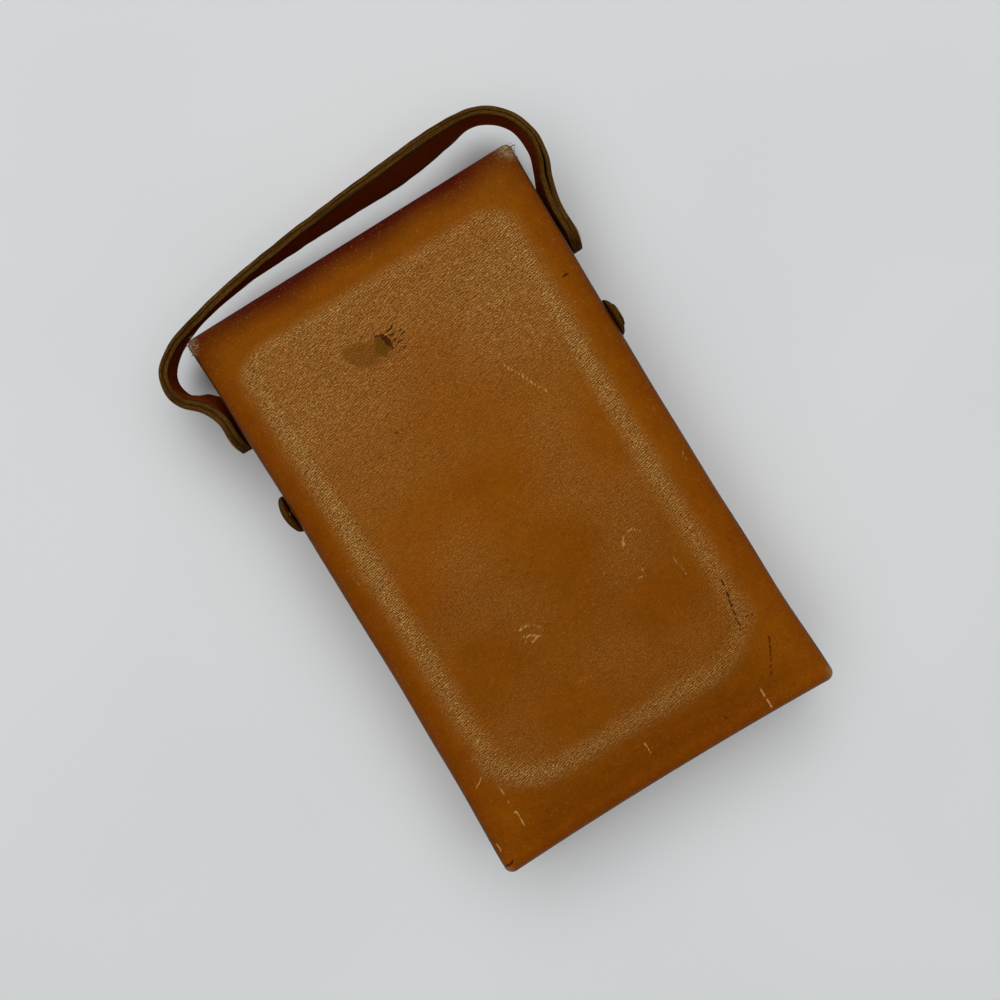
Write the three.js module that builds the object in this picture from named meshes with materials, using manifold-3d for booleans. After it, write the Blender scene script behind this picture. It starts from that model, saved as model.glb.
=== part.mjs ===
// A leather carrying case with a strap handle, and the pocket slide rule that it holds in a fitted block.
// Millimetres. +Z is up, out of the cover; +Y points to the strap; +X is to the right.
// The origin is the centre of the back panel's resting face.
import * as THREE from "three";
import { mergeVertices } from "three/addons/utils/BufferGeometryUtils.js";
import Module from "manifold-3d";

const wasm = await Module();
wasm.setup();

// ---------------------------------------------------------------- driving dimensions

const GAP = 0.3; // left between pieces that touch
const LEATHER = 2.5; // thickness of the case's leather

const CASE = { halfWidth: 55, halfLength: 91, depth: 34 };
const CORNER = { near: 4, far: 3 }; // plan radii at the closed end and at the strap end
const GUSSET_INSET = 0.5; // the side walls stand this far inside the cover's edge
const GUSSET_JOIN = 12; // how far up the sides the closed end's wall reaches, round its corners

const LIP_DEPTH = 8.7; // the cover's turned-down wall
const FOLD_RADIUS = 6; // the bend from the end wall into the cover
const EDGE_RADIUS = 3.6; // the cover's other edges
const RIDGE = { left: -46.6, right: 44.5, near: -70, far: 78, nearRadius: 17, farRadius: 11 };
const PLATEAU_RISE = 4; // height of the raised panel above the cover's edge
const LINING = 0.8;

const STRAP = { width: 19, ply: 1.45, between: 0.5, inner: 57.2 }; // inner: its inner face at the rivets
const PIVOT = { y: 61.5, z: 19.5 }; // the strap's rivets
const RIVET = { shank: 1.9, hole: 2.2, spacer: 4.6, cap: 4.3, head: 4 };

const TAB = { y: 32, width: 12, thickness: 2.2, base: 3, fold: 11.85, top: 32.5, standOff: 1.2, tip: 4 };
const SNAP = { z: 27.85, stud: 2.4, shank: 1.6, cap: 3.6, pocket: 0.9 };
const TAB_RIVET = { z: 7, spread: 3.3, shank: 0.9, head: 1.8 };

const RULE = { length: 150, width: 38, thickness: 5, mid: 21.5, slideWidth: 14, tongue: 1.5 };
const BRACKET = { length: 13, thickness: 1.6 };
const CURSOR = { length: 26, glass: 1.5, lift: 0.6, runner: 2.6 };
const SCREW = { shank: 1, head: 2, hole: 1.3, headHeight: 0.6 };
const CHANNEL = { halfWidth: 24.5, halfLength: 84, floor: 15.6 };
const SCOOP = { radius: 13, x: 25.6 }; // finger scoops beside the rule
const RELIEF = { rivet: 2.9, tabRivet: 1.6, round: 0.7 }; // room cut in the block behind the rivets' inner heads

// ---------------------------------------------------------------- worked out from those

const LIP_BOTTOM = CASE.depth - LIP_DEPTH;
const GUSSET_TOP = LIP_BOTTOM - GAP;
const GUSSET_OUT = CASE.halfWidth - GUSSET_INSET;
const GUSSET_IN = GUSSET_OUT - LEATHER;
const WALL_BOTTOM = LEATHER + GAP;
const END_IN = CASE.halfLength - LEATHER;
const FOLD = { y: CASE.halfLength - FOLD_RADIUS, z: CASE.depth - FOLD_RADIUS };
const COVER_END = FOLD.y - GAP;

// ---------------------------------------------------------------- solids

const ROUND = 20; // sides of a round piece
const SMALL_ROUND = 12;
const LARGE_ROUND = 28;
const ALL_X = [-70, 70]; // ranges that reach past the whole part, for pieces cut away
const ALL_Z = [0, 60];
const PAST_END = 120;

function solid(geometry) {
  const bare = geometry.index ? geometry.toNonIndexed() : geometry.clone();
  for (const name of Object.keys(bare.attributes)) {
    if (name !== "position") bare.deleteAttribute(name);
  }
  const merged = mergeVertices(bare, 1e-4);
  return new wasm.Manifold(
    new wasm.Mesh({
      numProp: 3,
      vertProperties: new Float32Array(merged.attributes.position.array),
      triVerts: new Uint32Array(merged.index.array),
    }),
  );
}

function geometryOf(made) {
  const mesh = made.getMesh();
  const geometry = new THREE.BufferGeometry();
  geometry.setAttribute("position", new THREE.BufferAttribute(mesh.vertProperties, 3));
  geometry.setIndex(new THREE.BufferAttribute(mesh.triVerts, 1));
  return geometry;
}

function block(x, y, z) {
  const made = new THREE.BoxGeometry(x[1] - x[0], y[1] - y[0], z[1] - z[0]);
  return made.translate((x[0] + x[1]) / 2, (y[0] + y[1]) / 2, (z[0] + z[1]) / 2);
}

// A shape drawn in X and Y, raised from z[0] to z[1].
function raised(shape, z, curveSegments = 6) {
  const made = new THREE.ExtrudeGeometry(shape, { depth: z[1] - z[0], bevelEnabled: false, curveSegments });
  return made.translate(0, 0, z[0]);
}

// A shape drawn in Y and Z, as seen from +X, carried from x[0] to x[1].
function sideways(shape, x, curveSegments = 6) {
  const turn = new THREE.Matrix4().set(0, 0, 1, x[0], 1, 0, 0, 0, 0, 1, 0, 0, 0, 0, 0, 1);
  const made = new THREE.ExtrudeGeometry(shape, { depth: x[1] - x[0], bevelEnabled: false, curveSegments });
  return made.applyMatrix4(turn);
}

// A section drawn in X and Z, carried along Y from y[0] to y[1].
function lengthways(shape, y) {
  const made = new THREE.ExtrudeGeometry(shape, { depth: y[1] - y[0], bevelEnabled: false });
  return made.rotateX(Math.PI / 2).translate(0, y[1], 0);
}

// A turned piece whose profile is [distance along +X, radius] pairs, on the axis through y and z.
function turned(profile, y, z, sides = ROUND) {
  const points = profile.map(([along, radius]) => new THREE.Vector2(radius, along));
  const made = new THREE.LatheGeometry(points, sides);
  return made.rotateZ(-Math.PI / 2).translate(0, y, z);
}

function rod(x, y, z, radius, sides = ROUND) {
  return turned([[x[0], 0], [x[0], radius], [x[1], radius], [x[1], 0]], y, z, sides);
}

function upright(x, y, z, radius, sides = ROUND) {
  const made = new THREE.CylinderGeometry(radius, radius, z[1] - z[0], sides).rotateX(Math.PI / 2);
  return made.translate(x, y, (z[0] + z[1]) / 2);
}

function polygon(points) {
  return new THREE.Shape(points.map(([a, b]) => new THREE.Vector2(a, b)));
}

function cut(geometry, ...tools) {
  return geometryOf(tools.reduce((made, tool) => made.subtract(solid(tool)), solid(geometry)));
}

function join(geometry, ...others) {
  return geometryOf(others.reduce((made, other) => made.add(solid(other)), solid(geometry)));
}

function common(geometry, other) {
  return geometryOf(solid(geometry).intersect(solid(other)));
}

// The same piece on the other side of the case.
function mirrored(geometry) {
  const made = geometry.index ? geometry.toNonIndexed() : geometry.clone();
  made.scale(-1, 1, 1);
  const at = made.attributes.position;
  for (let i = 0; i < at.count; i += 3) {
    const [x, y, z] = [at.getX(i), at.getY(i), at.getZ(i)];
    at.setXYZ(i, at.getX(i + 1), at.getY(i + 1), at.getZ(i + 1));
    at.setXYZ(i + 1, x, y, z);
  }
  return made;
}

// Skin over rings of points with as many points each; both ends are closed by a point or a flat fan.
function loft(rings) {
  const count = Math.max(...rings.map((ring) => ring.length));
  const points = [];
  const starts = rings.map((ring) => {
    const start = points.length;
    points.push(...ring);
    return start;
  });
  const faces = [];
  for (let r = 0; r + 1 < rings.length; r++) {
    const [a, b] = [starts[r], starts[r + 1]];
    const pointA = rings[r].length === 1;
    const pointB = rings[r + 1].length === 1;
    for (let i = 0; i < count; i++) {
      const j = (i + 1) % count;
      if (!pointB) faces.push([a + (pointA ? 0 : i), b + i, b + j]);
      if (!pointA) faces.push([a + i, b + (pointB ? 0 : j), a + j]);
    }
  }
  for (const [ring, flip] of [[0, false], [rings.length - 1, true]]) {
    for (let i = 1; i + 1 < rings[ring].length; i++) {
      const fan = [starts[ring], starts[ring] + i, starts[ring] + i + 1];
      faces.push(flip ? fan.reverse() : fan);
    }
  }
  const volume = faces.reduce((sum, [a, b, c]) => {
    const cross = new THREE.Vector3().crossVectors(points[b], points[c]);
    return sum + points[a].dot(cross);
  }, 0);
  const outward = volume < 0 ? faces.map((face) => face.slice().reverse()) : faces;
  const made = new THREE.BufferGeometry();
  made.setAttribute("position", new THREE.Float32BufferAttribute(points.flatMap((p) => [p.x, p.y, p.z]), 3));
  made.setIndex(outward.flat());
  return made;
}

// ---------------------------------------------------------------- outlines of the case

const CORNER_STEPS = 5;
const SIDE_STEPS = 5;

// A rounded rectangle as a list of points. Every call gives as many points, in the same order.
function outline({ left, right, near, far, nearRadius, farRadius }) {
  const corners = [
    [right - nearRadius, near + nearRadius, nearRadius, -90],
    [right - farRadius, far - farRadius, farRadius, 0],
    [left + farRadius, far - farRadius, farRadius, 90],
    [left + nearRadius, near + nearRadius, nearRadius, 180],
  ];
  const arcs = corners.map(([x, y, radius, from]) =>
    Array.from({ length: CORNER_STEPS + 1 }, (_, i) => {
      const angle = THREE.MathUtils.degToRad(from + (90 * i) / CORNER_STEPS);
      return new THREE.Vector2(x + radius * Math.cos(angle), y + radius * Math.sin(angle));
    }),
  );
  return arcs.flatMap((arc, k) => {
    const last = arc[arc.length - 1];
    const next = arcs[(k + 1) % arcs.length][0];
    const side = Array.from({ length: SIDE_STEPS }, (_, i) => last.clone().lerp(next, (i + 1) / (SIDE_STEPS + 1)));
    return [...arc, ...side];
  });
}

function caseOutline(inset) {
  return outline({
    left: -CASE.halfWidth + inset,
    right: CASE.halfWidth - inset,
    near: -CASE.halfLength + inset,
    far: CASE.halfLength - inset,
    nearRadius: Math.max(CORNER.near - inset, 0.8),
    farRadius: Math.max(CORNER.far - inset, 0.8),
  });
}

function ridgeOutline(inset) {
  return outline({
    left: RIDGE.left + inset,
    right: RIDGE.right - inset,
    near: RIDGE.near + inset,
    far: RIDGE.far - inset,
    nearRadius: RIDGE.nearRadius - inset,
    farRadius: RIDGE.farRadius - inset,
  });
}

const RIDGE_CENTRE = new THREE.Vector2((RIDGE.left + RIDGE.right) / 2, (RIDGE.near + RIDGE.far) / 2);

const mix = (a, b, share) => a.map((p, i) => p.clone().lerp(b[i], share));
const shrunk = (points, share) => points.map((p) => RIDGE_CENTRE.clone().lerp(p, share));
const atHeight = (points, z) => points.map((p) => new THREE.Vector3(p.x, p.y, z));
const centreAt = (z) => [new THREE.Vector3(RIDGE_CENTRE.x, RIDGE_CENTRE.y, z)];

// Rings from the border of a face up over the shoulder onto the raised panel.
// Each step is [share of the way from border to ridge, share of the rise].
const SHOULDER = [[0.35, 0.08], [0.6, 0.25], [0.8, 0.58], [0.92, 0.82], [1, 0.93]];

function shoulder(border, ridge, z, rise) {
  const slope = SHOULDER.map(([share, up]) => atHeight(mix(border, ridge, share), z + rise * up));
  return [atHeight(border, z), ...slope, atHeight(shrunk(ridge, 0.94), z + rise), centreAt(z + rise + 0.1)];
}

// ---------------------------------------------------------------- the case's leather

const PLAN = polygon(caseOutline(GUSSET_INSET).map((p) => [p.x, p.y]));
const FULL_PLAN = polygon(caseOutline(0).map((p) => [p.x, p.y]));
const INNER_PLAN = polygon(caseOutline(GUSSET_INSET + LEATHER).map((p) => [p.x, p.y]));

function coverShell() {
  const edge = [0, 22.5, 45, 67.5, 90].map((degrees) => {
    const angle = THREE.MathUtils.degToRad(degrees);
    const inset = EDGE_RADIUS * (1 - Math.cos(angle));
    return atHeight(caseOutline(inset), CASE.depth - EDGE_RADIUS * (1 - Math.sin(angle)));
  });
  const outer = [
    atHeight(caseOutline(0), LIP_BOTTOM),
    ...edge.slice(0, -1),
    ...shoulder(caseOutline(EDGE_RADIUS), ridgeOutline(0), CASE.depth, PLATEAU_RISE),
  ];
  const under = CASE.depth - LEATHER;
  const inner = [
    atHeight(caseOutline(LEATHER), LIP_BOTTOM),
    atHeight(caseOutline(LEATHER), under - 1.5),
    atHeight(caseOutline(LEATHER + 0.9), under - 0.3),
    ...shoulder(caseOutline(LEATHER + 2), ridgeOutline(2), under, PLATEAU_RISE),
  ];
  const whole = loft([...outer.reverse(), ...inner]);
  const beyond = block(ALL_X, [COVER_END, PAST_END], ALL_Z);
  const pockets = [1, -1].map((side) =>
    rod([side * CASE.halfWidth - SNAP.pocket, side * CASE.halfWidth + SNAP.pocket], TAB.y, SNAP.z, SNAP.stud + GAP),
  );
  return cut(whole, beyond, ...pockets);
}

function coverLining() {
  const top = CASE.depth - LEATHER - GAP - 0.1;
  const upper = shoulder(caseOutline(6), ridgeOutline(3.4), top, PLATEAU_RISE);
  const lower = shoulder(caseOutline(6.6), ridgeOutline(4.4), top - LINING, PLATEAU_RISE);
  return cut(loft([...upper.reverse(), ...lower]), block(ALL_X, [COVER_END - 1, PAST_END], ALL_Z));
}

function backPanel() {
  return raised(PLAN, [0, LEATHER]);
}

// The bend that joins the end wall to the cover, and what lies under it at the case's sides.
function quarterRing(outer, inner) {
  const shape = new THREE.Shape();
  shape.absarc(FOLD.y, FOLD.z, outer, 0, Math.PI / 2, false);
  if (inner > 0) shape.absarc(FOLD.y, FOLD.z, inner, Math.PI / 2, 0, true);
  else shape.lineTo(FOLD.y, FOLD.z);
  return shape;
}

function hingeStrip() {
  const bend = sideways(quarterRing(FOLD_RADIUS, FOLD_RADIUS - LEATHER), [-CASE.halfWidth, CASE.halfWidth], 8);
  return common(bend, raised(FULL_PLAN, ALL_Z));
}

function endWall() {
  const wall = block([-CASE.halfWidth, CASE.halfWidth], [END_IN, CASE.halfLength], [WALL_BOTTOM, FOLD.z - GAP]);
  return common(wall, raised(FULL_PLAN, ALL_Z));
}

// The right-hand wall, with the ear that fills the case's side under the bend.
function rightGusset() {
  const far = END_IN - GAP;
  const near = -CASE.halfLength + GUSSET_JOIN;
  const wall = block([GUSSET_IN, GUSSET_OUT], [near, far], [WALL_BOTTOM, GUSSET_TOP]);
  const earBase = block([GUSSET_IN, GUSSET_OUT], [FOLD.y, far], [GUSSET_TOP - 1, FOLD.z + 0.01]);
  const ear = sideways(quarterRing(FOLD_RADIUS - LEATHER - GAP, 0), [GUSSET_IN, GUSSET_OUT], 6);
  const holes = [
    rod([GUSSET_IN - 1, GUSSET_OUT + 1], PIVOT.y, PIVOT.z, RIVET.hole),
    ...tabRivetHoles([GUSSET_IN - 1, GUSSET_OUT + 1]),
  ];
  return cut(join(wall, earBase, ear), ...holes);
}

// The wall at the closed end, which turns both corners to meet the side walls.
function nearGusset() {
  const ring = cut(raised(PLAN, [WALL_BOTTOM, GUSSET_TOP]), raised(INNER_PLAN, ALL_Z));
  return cut(ring, block(ALL_X, [-CASE.halfLength + GUSSET_JOIN - GAP, PAST_END], ALL_Z));
}

function backLining() {
  const inset = 2;
  return block(
    [-GUSSET_IN + inset, GUSSET_IN - inset],
    [-END_IN + inset, END_IN - inset],
    [WALL_BOTTOM, WALL_BOTTOM + LINING],
  );
}

// ---------------------------------------------------------------- the fitted block

// The X range that reaches in from a side wall by the given depth.
function fromSide(side, depth) {
  const ends = [side * (GUSSET_IN - depth), side * (GUSSET_IN + 4)];
  return ends.sort((a, b) => a - b);
}

function fittedBlock() {
  const bottom = WALL_BOTTOM + LINING + GAP;
  const brim = CASE.depth - LEATHER - 2 * GAP - LINING - 1;
  const base = raised(polygon(caseOutline(GUSSET_INSET + LEATHER + GAP).map((p) => [p.x, p.y])), [bottom, brim]);
  const crown = raised(polygon(ridgeOutline(6).map((p) => [p.x, p.y])), [brim - 1, brim + PLATEAU_RISE + 0.4]);
  const channel = block(
    [-CHANNEL.halfWidth, CHANNEL.halfWidth],
    [-CHANNEL.halfLength, CHANNEL.halfLength],
    [CHANNEL.floor, ALL_Z[1]],
  );
  const scoops = [1, -1].map((side) => upright(side * SCOOP.x, 0, [CHANNEL.floor + 1, ALL_Z[1]], SCOOP.radius, LARGE_ROUND));
  const halfTab = TAB.width / 2;
  const reliefs = [1, -1].flatMap((side) => [
    rod(fromSide(side, RELIEF.rivet), PIVOT.y, PIVOT.z, RIVET.head + RELIEF.round),
    block(fromSide(side, RELIEF.tabRivet), [TAB.y - halfTab, TAB.y + halfTab], [bottom - 1, TAB_RIVET.z + 3]),
  ]);
  return cut(join(base, crown), channel, ...scoops, ...reliefs);
}

function restPad(end) {
  const middle = end * (RULE.length - BRACKET.length) / 2;
  const half = BRACKET.length / 2 - 1;
  const top = RULE.mid - RULE.thickness / 2 - GAP - BRACKET.thickness - GAP;
  return block([-RULE.width / 2 + 2, RULE.width / 2 - 2], [middle - half, middle + half], [CHANNEL.floor + GAP, top]);
}

// ---------------------------------------------------------------- strap, rivets and tabs

// The strap's middle line in plan, from its left rivet end round to its right one, at its upper edge.
const STRAP_ROUTE = [
  [-58.9, 54], [-58.9, 60], [-58.9, 65.6], [-61.8, 72], [-66.3, 77], [-67.6, 82], [-65.6, 87.8],
  [-60.8, 91.6], [-53.5, 94.4], [-34, 98.8], [-15, 101.5], [6, 103.7], [26, 105.5], [42, 106.3],
  [53, 104.8], [60.3, 99.4], [63.7, 91.8], [63.5, 84.4], [60.9, 77], [59.2, 69], [58.9, 61], [58.9, 54.2],
];
// How far the lower edge leans out from the upper one at each of those points.
const STRAP_LEAN = [0, 0, 0, -2.2, -4, -3, -0.5, 2, 3.4, 3, 1.6, 0.4, -0.4, -0.6, -0.6, -0.6, -0.6, -0.4, 0, 0, 0, 0];
const STRAP_STEPS = 64;

// One ply: a flat band that follows the route, with half-round ends.
function strapPly(offset) {
  const route = new THREE.CatmullRomCurve3(
    STRAP_ROUTE.map(([x, y], i) => new THREE.Vector3(x, y, STRAP_LEAN[i])),
    false,
    "centripetal",
  );
  const length = route.getLength();
  const half = STRAP.width / 2;
  const shares = [0, 0.12, 0.4, 0.9, 1.7, 2.9, 4.8, 7.2, 9.5].map((at) => at / length);
  const middle = Array.from({ length: STRAP_STEPS - 1 }, (_, i) => 0.055 + (0.89 * i) / (STRAP_STEPS - 2));
  const stations = [...shares, ...middle, ...shares.map((share) => 1 - share).reverse()];
  const rings = stations.map((share) => {
    const along = Math.min(share, 1 - share) * length;
    const reach = along < half ? Math.sqrt(Math.max(half ** 2 - (half - along) ** 2, 1)) : half;
    const at = route.getPointAt(share);
    const forward = route.getTangentAt(share).setZ(0).normalize();
    const out = new THREE.Vector3(-forward.y, forward.x, 0);
    const place = (across, up) => {
      const lean = at.z * (0.5 - up / STRAP.width);
      const shift = offset + across + lean;
      return new THREE.Vector3(at.x + out.x * shift, at.y + out.y * shift, PIVOT.z + up);
    };
    const t = STRAP.ply / 2;
    return [place(-t, -reach), place(t, -reach), place(t, reach), place(-t, reach)];
  });
  const hole = rod([-80, 80], PIVOT.y, PIVOT.z, RIVET.hole);
  return cut(loft(rings), hole);
}

const STRAP_OUT = STRAP.inner + 2 * STRAP.ply + STRAP.between;

function strapRivet() {
  const inside = GUSSET_IN - GAP;
  const cap = STRAP_OUT + GAP;
  const profile = [
    [inside - 2, 0], [inside - 2, RIVET.head - 0.6], [inside - 1.4, RIVET.head], [inside, RIVET.head],
    [inside, RIVET.shank], [cap, RIVET.shank], [cap, RIVET.cap], [cap + 0.5, RIVET.cap - 0.2],
    [cap + 1.1, RIVET.cap * 0.66], [cap + 1.4, 0],
  ];
  return turned(profile, PIVOT.y, PIVOT.z);
}

function strapSpacer() {
  const disc = rod([GUSSET_OUT + GAP, STRAP.inner - GAP], PIVOT.y, PIVOT.z, RIVET.spacer);
  return cut(disc, rod([GUSSET_OUT - 1, STRAP.inner + 1], PIVOT.y, PIVOT.z, RIVET.hole));
}

function tabRivetPlaces() {
  return [TAB.y - TAB_RIVET.spread, TAB.y + TAB_RIVET.spread];
}

function tabRivetHoles(x) {
  return tabRivetPlaces().map((y) => rod(x, y, TAB_RIVET.z, TAB_RIVET.shank + GAP, SMALL_ROUND));
}

const TAB_IN = GUSSET_OUT + GAP;

function tabBase() {
  const half = TAB.width / 2;
  const piece = block([TAB_IN, TAB_IN + TAB.thickness], [TAB.y - half, TAB.y + half], [TAB.base, TAB.fold - GAP / 2]);
  return cut(piece, ...tabRivetHoles([TAB_IN - 1, TAB_IN + TAB.thickness + 1]));
}

// The flap steps out past the cover's lip and has a rounded tip.
function tabFlap() {
  const [inner, outer] = [TAB_IN, TAB_IN + TAB.thickness];
  const foot = TAB.fold + GAP / 2;
  const step = [[foot + 5, 0.15], [foot + 9, 0.7], [foot + 12, 1]].map(([z, share]) => [z, share * TAB.standOff]);
  const section = polygon([
    [inner, foot], [outer, foot], ...step.map(([z, out]) => [outer + out, z]), [outer + TAB.standOff, TAB.top],
    [inner + TAB.standOff, TAB.top], ...step.reverse().map(([z, out]) => [inner + out, z]),
  ]);
  const half = TAB.width / 2;
  const front = new THREE.Shape();
  front.moveTo(TAB.y - half, 0);
  front.lineTo(TAB.y + half, 0);
  front.lineTo(TAB.y + half, TAB.top - TAB.tip);
  front.absarc(TAB.y + half - TAB.tip, TAB.top - TAB.tip, TAB.tip, 0, Math.PI / 2, false);
  front.absarc(TAB.y - half + TAB.tip, TAB.top - TAB.tip, TAB.tip, Math.PI / 2, Math.PI, false);
  const piece = common(lengthways(section, [TAB.y - half - 1, TAB.y + half + 1]), sideways(front, [50, 62], 6));
  const face = outer + TAB.standOff;
  return cut(
    piece,
    rod([inner - 1, face + 1], TAB.y, SNAP.z, SNAP.shank + GAP),
    rod([face - 0.7, face + 1], TAB.y, SNAP.z, SNAP.cap + GAP),
  );
}

function snapCap() {
  const face = TAB_IN + TAB.thickness + TAB.standOff;
  const tip = CASE.halfWidth + 0.8;
  return turned(
    [[tip, 0], [tip, SNAP.shank], [face - 0.4, SNAP.shank], [face - 0.4, SNAP.cap], [face + 0.1, SNAP.cap],
      [face + 0.5, SNAP.cap * 0.7], [face + 0.6, 0]],
    TAB.y,
    SNAP.z,
  );
}

function snapStud() {
  const base = CASE.halfWidth - SNAP.pocket + GAP;
  const face = CASE.halfWidth + 0.5;
  const neck = SNAP.stud * 0.62;
  return turned(
    [[base, 0], [base, SNAP.stud], [base + 0.5, SNAP.stud], [base + 0.6, neck], [face - 0.15, neck], [face, neck * 0.7],
      [face, 0]],
    TAB.y,
    SNAP.z,
  );
}

function tabRivet(y) {
  const inside = GUSSET_IN - GAP;
  const face = TAB_IN + TAB.thickness + GAP;
  return turned(
    [[inside - 0.7, 0], [inside - 0.7, TAB_RIVET.head], [inside, TAB_RIVET.head], [inside, TAB_RIVET.shank],
      [face, TAB_RIVET.shank], [face, TAB_RIVET.head], [face + 0.4, TAB_RIVET.head * 0.7], [face + 0.55, 0]],
    y,
    TAB_RIVET.z,
    SMALL_ROUND,
  );
}

// ---------------------------------------------------------------- the slide rule

const RULE_LOW = RULE.mid - RULE.thickness / 2;
const RULE_HIGH = RULE.mid + RULE.thickness / 2;
const BRACKET_MIDDLE = (RULE.length - BRACKET.length) / 2;
const SCREW_X = RULE.width / 2 - 5;
const SLIDE_STEP = 0.2; // the slide's faces lie this far below the rails' faces

function screwHoles(side) {
  return [-1, 1].map((end) => upright(side * SCREW_X, end * BRACKET_MIDDLE, ALL_Z, SCREW.hole, SMALL_ROUND));
}

function ruleRail() {
  const inside = RULE.slideWidth / 2 + GAP;
  const groove = inside + RULE.tongue;
  const outside = RULE.width / 2;
  const lips = RULE.tongue / 2 + GAP;
  const section = polygon([
    [inside, RULE_LOW], [outside, RULE_LOW], [outside, RULE_HIGH], [inside, RULE_HIGH],
    [inside, RULE.mid + lips], [groove, RULE.mid + lips], [groove, RULE.mid - lips], [inside, RULE.mid - lips],
  ]);
  return cut(lengthways(section, [-RULE.length / 2, RULE.length / 2]), ...screwHoles(1));
}

function ruleSlide() {
  const half = RULE.slideWidth / 2;
  const tongue = half + RULE.tongue - GAP / 2;
  const low = RULE_LOW + SLIDE_STEP;
  const thick = RULE.tongue / 2;
  const right = [[half, low], [half, RULE.mid - thick], [tongue, RULE.mid - thick]];
  const upper = right.map(([x, z]) => [x, 2 * RULE.mid - z]).reverse();
  const side = [...right, ...upper];
  const other = side.map(([x, z]) => [-x, z]).reverse();
  return lengthways(polygon([...side, ...other]), [-RULE.length / 2, RULE.length / 2]);
}

function bracket(end, face) {
  const half = { x: RULE.width / 2, y: BRACKET.length / 2 };
  const middle = end * BRACKET_MIDDLE;
  const chamfer = 3;
  const shape = polygon([
    [-half.x, -half.y], [half.x, -half.y], [half.x, half.y - chamfer], [half.x - chamfer, half.y],
    [-half.x + chamfer, half.y], [-half.x, half.y - chamfer],
  ].map(([x, y]) => [x * end, middle + y * end]));
  const low = face > 0 ? RULE_HIGH + GAP : RULE_LOW - GAP - BRACKET.thickness;
  return cut(raised(shape, [low, low + BRACKET.thickness]), ...screwHoles(1), ...screwHoles(-1));
}

function bracketScrew(side, end) {
  const top = RULE_HIGH + 2 * GAP + BRACKET.thickness;
  const profile = [
    [RULE_LOW - GAP - 1, 0], [RULE_LOW - GAP - 1, SCREW.shank], [top, SCREW.shank], [top, SCREW.head],
    [top + SCREW.headHeight * 0.6, SCREW.head], [top + SCREW.headHeight, SCREW.head * 0.6], [top + SCREW.headHeight, 0],
  ];
  const points = profile.map(([z, radius]) => new THREE.Vector2(radius, z));
  const made = new THREE.LatheGeometry(points, SMALL_ROUND).rotateX(Math.PI / 2);
  return made.translate(side * SCREW_X, end * BRACKET_MIDDLE, 0);
}

const RUNNER_IN = RULE.width / 2 + 0.5;
const SPRING_ROOM = 0.9; // the left runner stands off to leave room for the spring

function cursorGlass(face) {
  const low = face > 0 ? RULE_HIGH + CURSOR.lift : RULE_LOW - CURSOR.lift - CURSOR.glass;
  const half = CURSOR.length / 2;
  return block([-RUNNER_IN + 0.2, RUNNER_IN - GAP], [-half, half], [low, low + CURSOR.glass]);
}

function cursorRunner(side) {
  const inner = side > 0 ? RUNNER_IN : RUNNER_IN + SPRING_ROOM;
  const reach = CURSOR.lift + CURSOR.glass;
  const half = CURSOR.length / 2;
  const [a, b] = [side * inner, side * (inner + CURSOR.runner)].sort((p, q) => p - q);
  return block([a, b], [-half, half], [RULE_LOW - reach, RULE_HIGH + reach]);
}

// A bowed leaf that presses on the rail from the left runner.
function cursorSpring() {
  const half = CURSOR.length / 2 - 2;
  const [flat, bow, leaf] = [-RUNNER_IN - SPRING_ROOM + 0.5, 0.5, 0.35];
  const places = [-1, -0.6, -0.2, 0.2, 0.6, 1];
  const front = places.map((share) => [flat + bow * (1 - share * share), share * half]);
  const back = front.map(([x, y]) => [x - leaf, y]).reverse();
  return raised(polygon([...front, ...back]), [RULE.mid - 1.8, RULE.mid + 1.8]);
}

// ---------------------------------------------------------------- materials and the assembly

function material(color, roughness, metalness = 0, extra = {}) {
  return new THREE.MeshStandardMaterial({ color, roughness, metalness, ...extra });
}

const TAN = material(0xa5691e, 0.5);
const STRAP_LEATHER = material(0x6b4a24, 0.55);
const STRAP_DARK = material(0x4a2412, 0.5);
const FELT = material(0x5b1f23, 0.95);
const METAL = material(0x8d7b52, 0.4, 0.9);
const CELLULOID = material(0xeae3cc, 0.35);
const BRIGHT = material(0xb9bcc0, 0.3, 0.9);
const GLASS = material(0xdfe8ea, 0.05, 0, { transparent: true, opacity: 0.35 });

const leatherCase = new THREE.Group();

function add(name, geometry, look) {
  const mesh = new THREE.Mesh(geometry, look);
  mesh.name = name;
  leatherCase.add(mesh);
}

add("back_panel", backPanel(), TAN);
add("near_gusset", nearGusset(), TAN);
add("end_wall", endWall(), TAN);
add("hinge_strip", hingeStrip(), TAN);
add("cover_shell", coverShell(), TAN);
add("cover_lining", coverLining(), FELT);
add("back_lining", backLining(), FELT);
add("fitted_block", fittedBlock(), FELT);
add("strap_inner", strapPly(-(STRAP.ply + STRAP.between) / 2), STRAP_DARK);
add("strap_outer", strapPly((STRAP.ply + STRAP.between) / 2), STRAP_LEATHER);

for (const [side, place] of [["right", (made) => made], ["left", mirrored]]) {
  add(`${side}_gusset`, place(rightGusset()), TAN);
  add(`${side}_strap_rivet`, place(strapRivet()), METAL);
  add(`${side}_strap_spacer`, place(strapSpacer()), STRAP_DARK);
  add(`${side}_tab_base`, place(tabBase()), STRAP_LEATHER);
  add(`${side}_tab_flap`, place(tabFlap()), STRAP_LEATHER);
  add(`${side}_snap_cap`, place(snapCap()), METAL);
  add(`${side}_snap_stud`, place(snapStud()), METAL);
  tabRivetPlaces().forEach((y, i) => add(`${side}_tab_rivet_${i + 1}`, place(tabRivet(y)), METAL));
}

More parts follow.
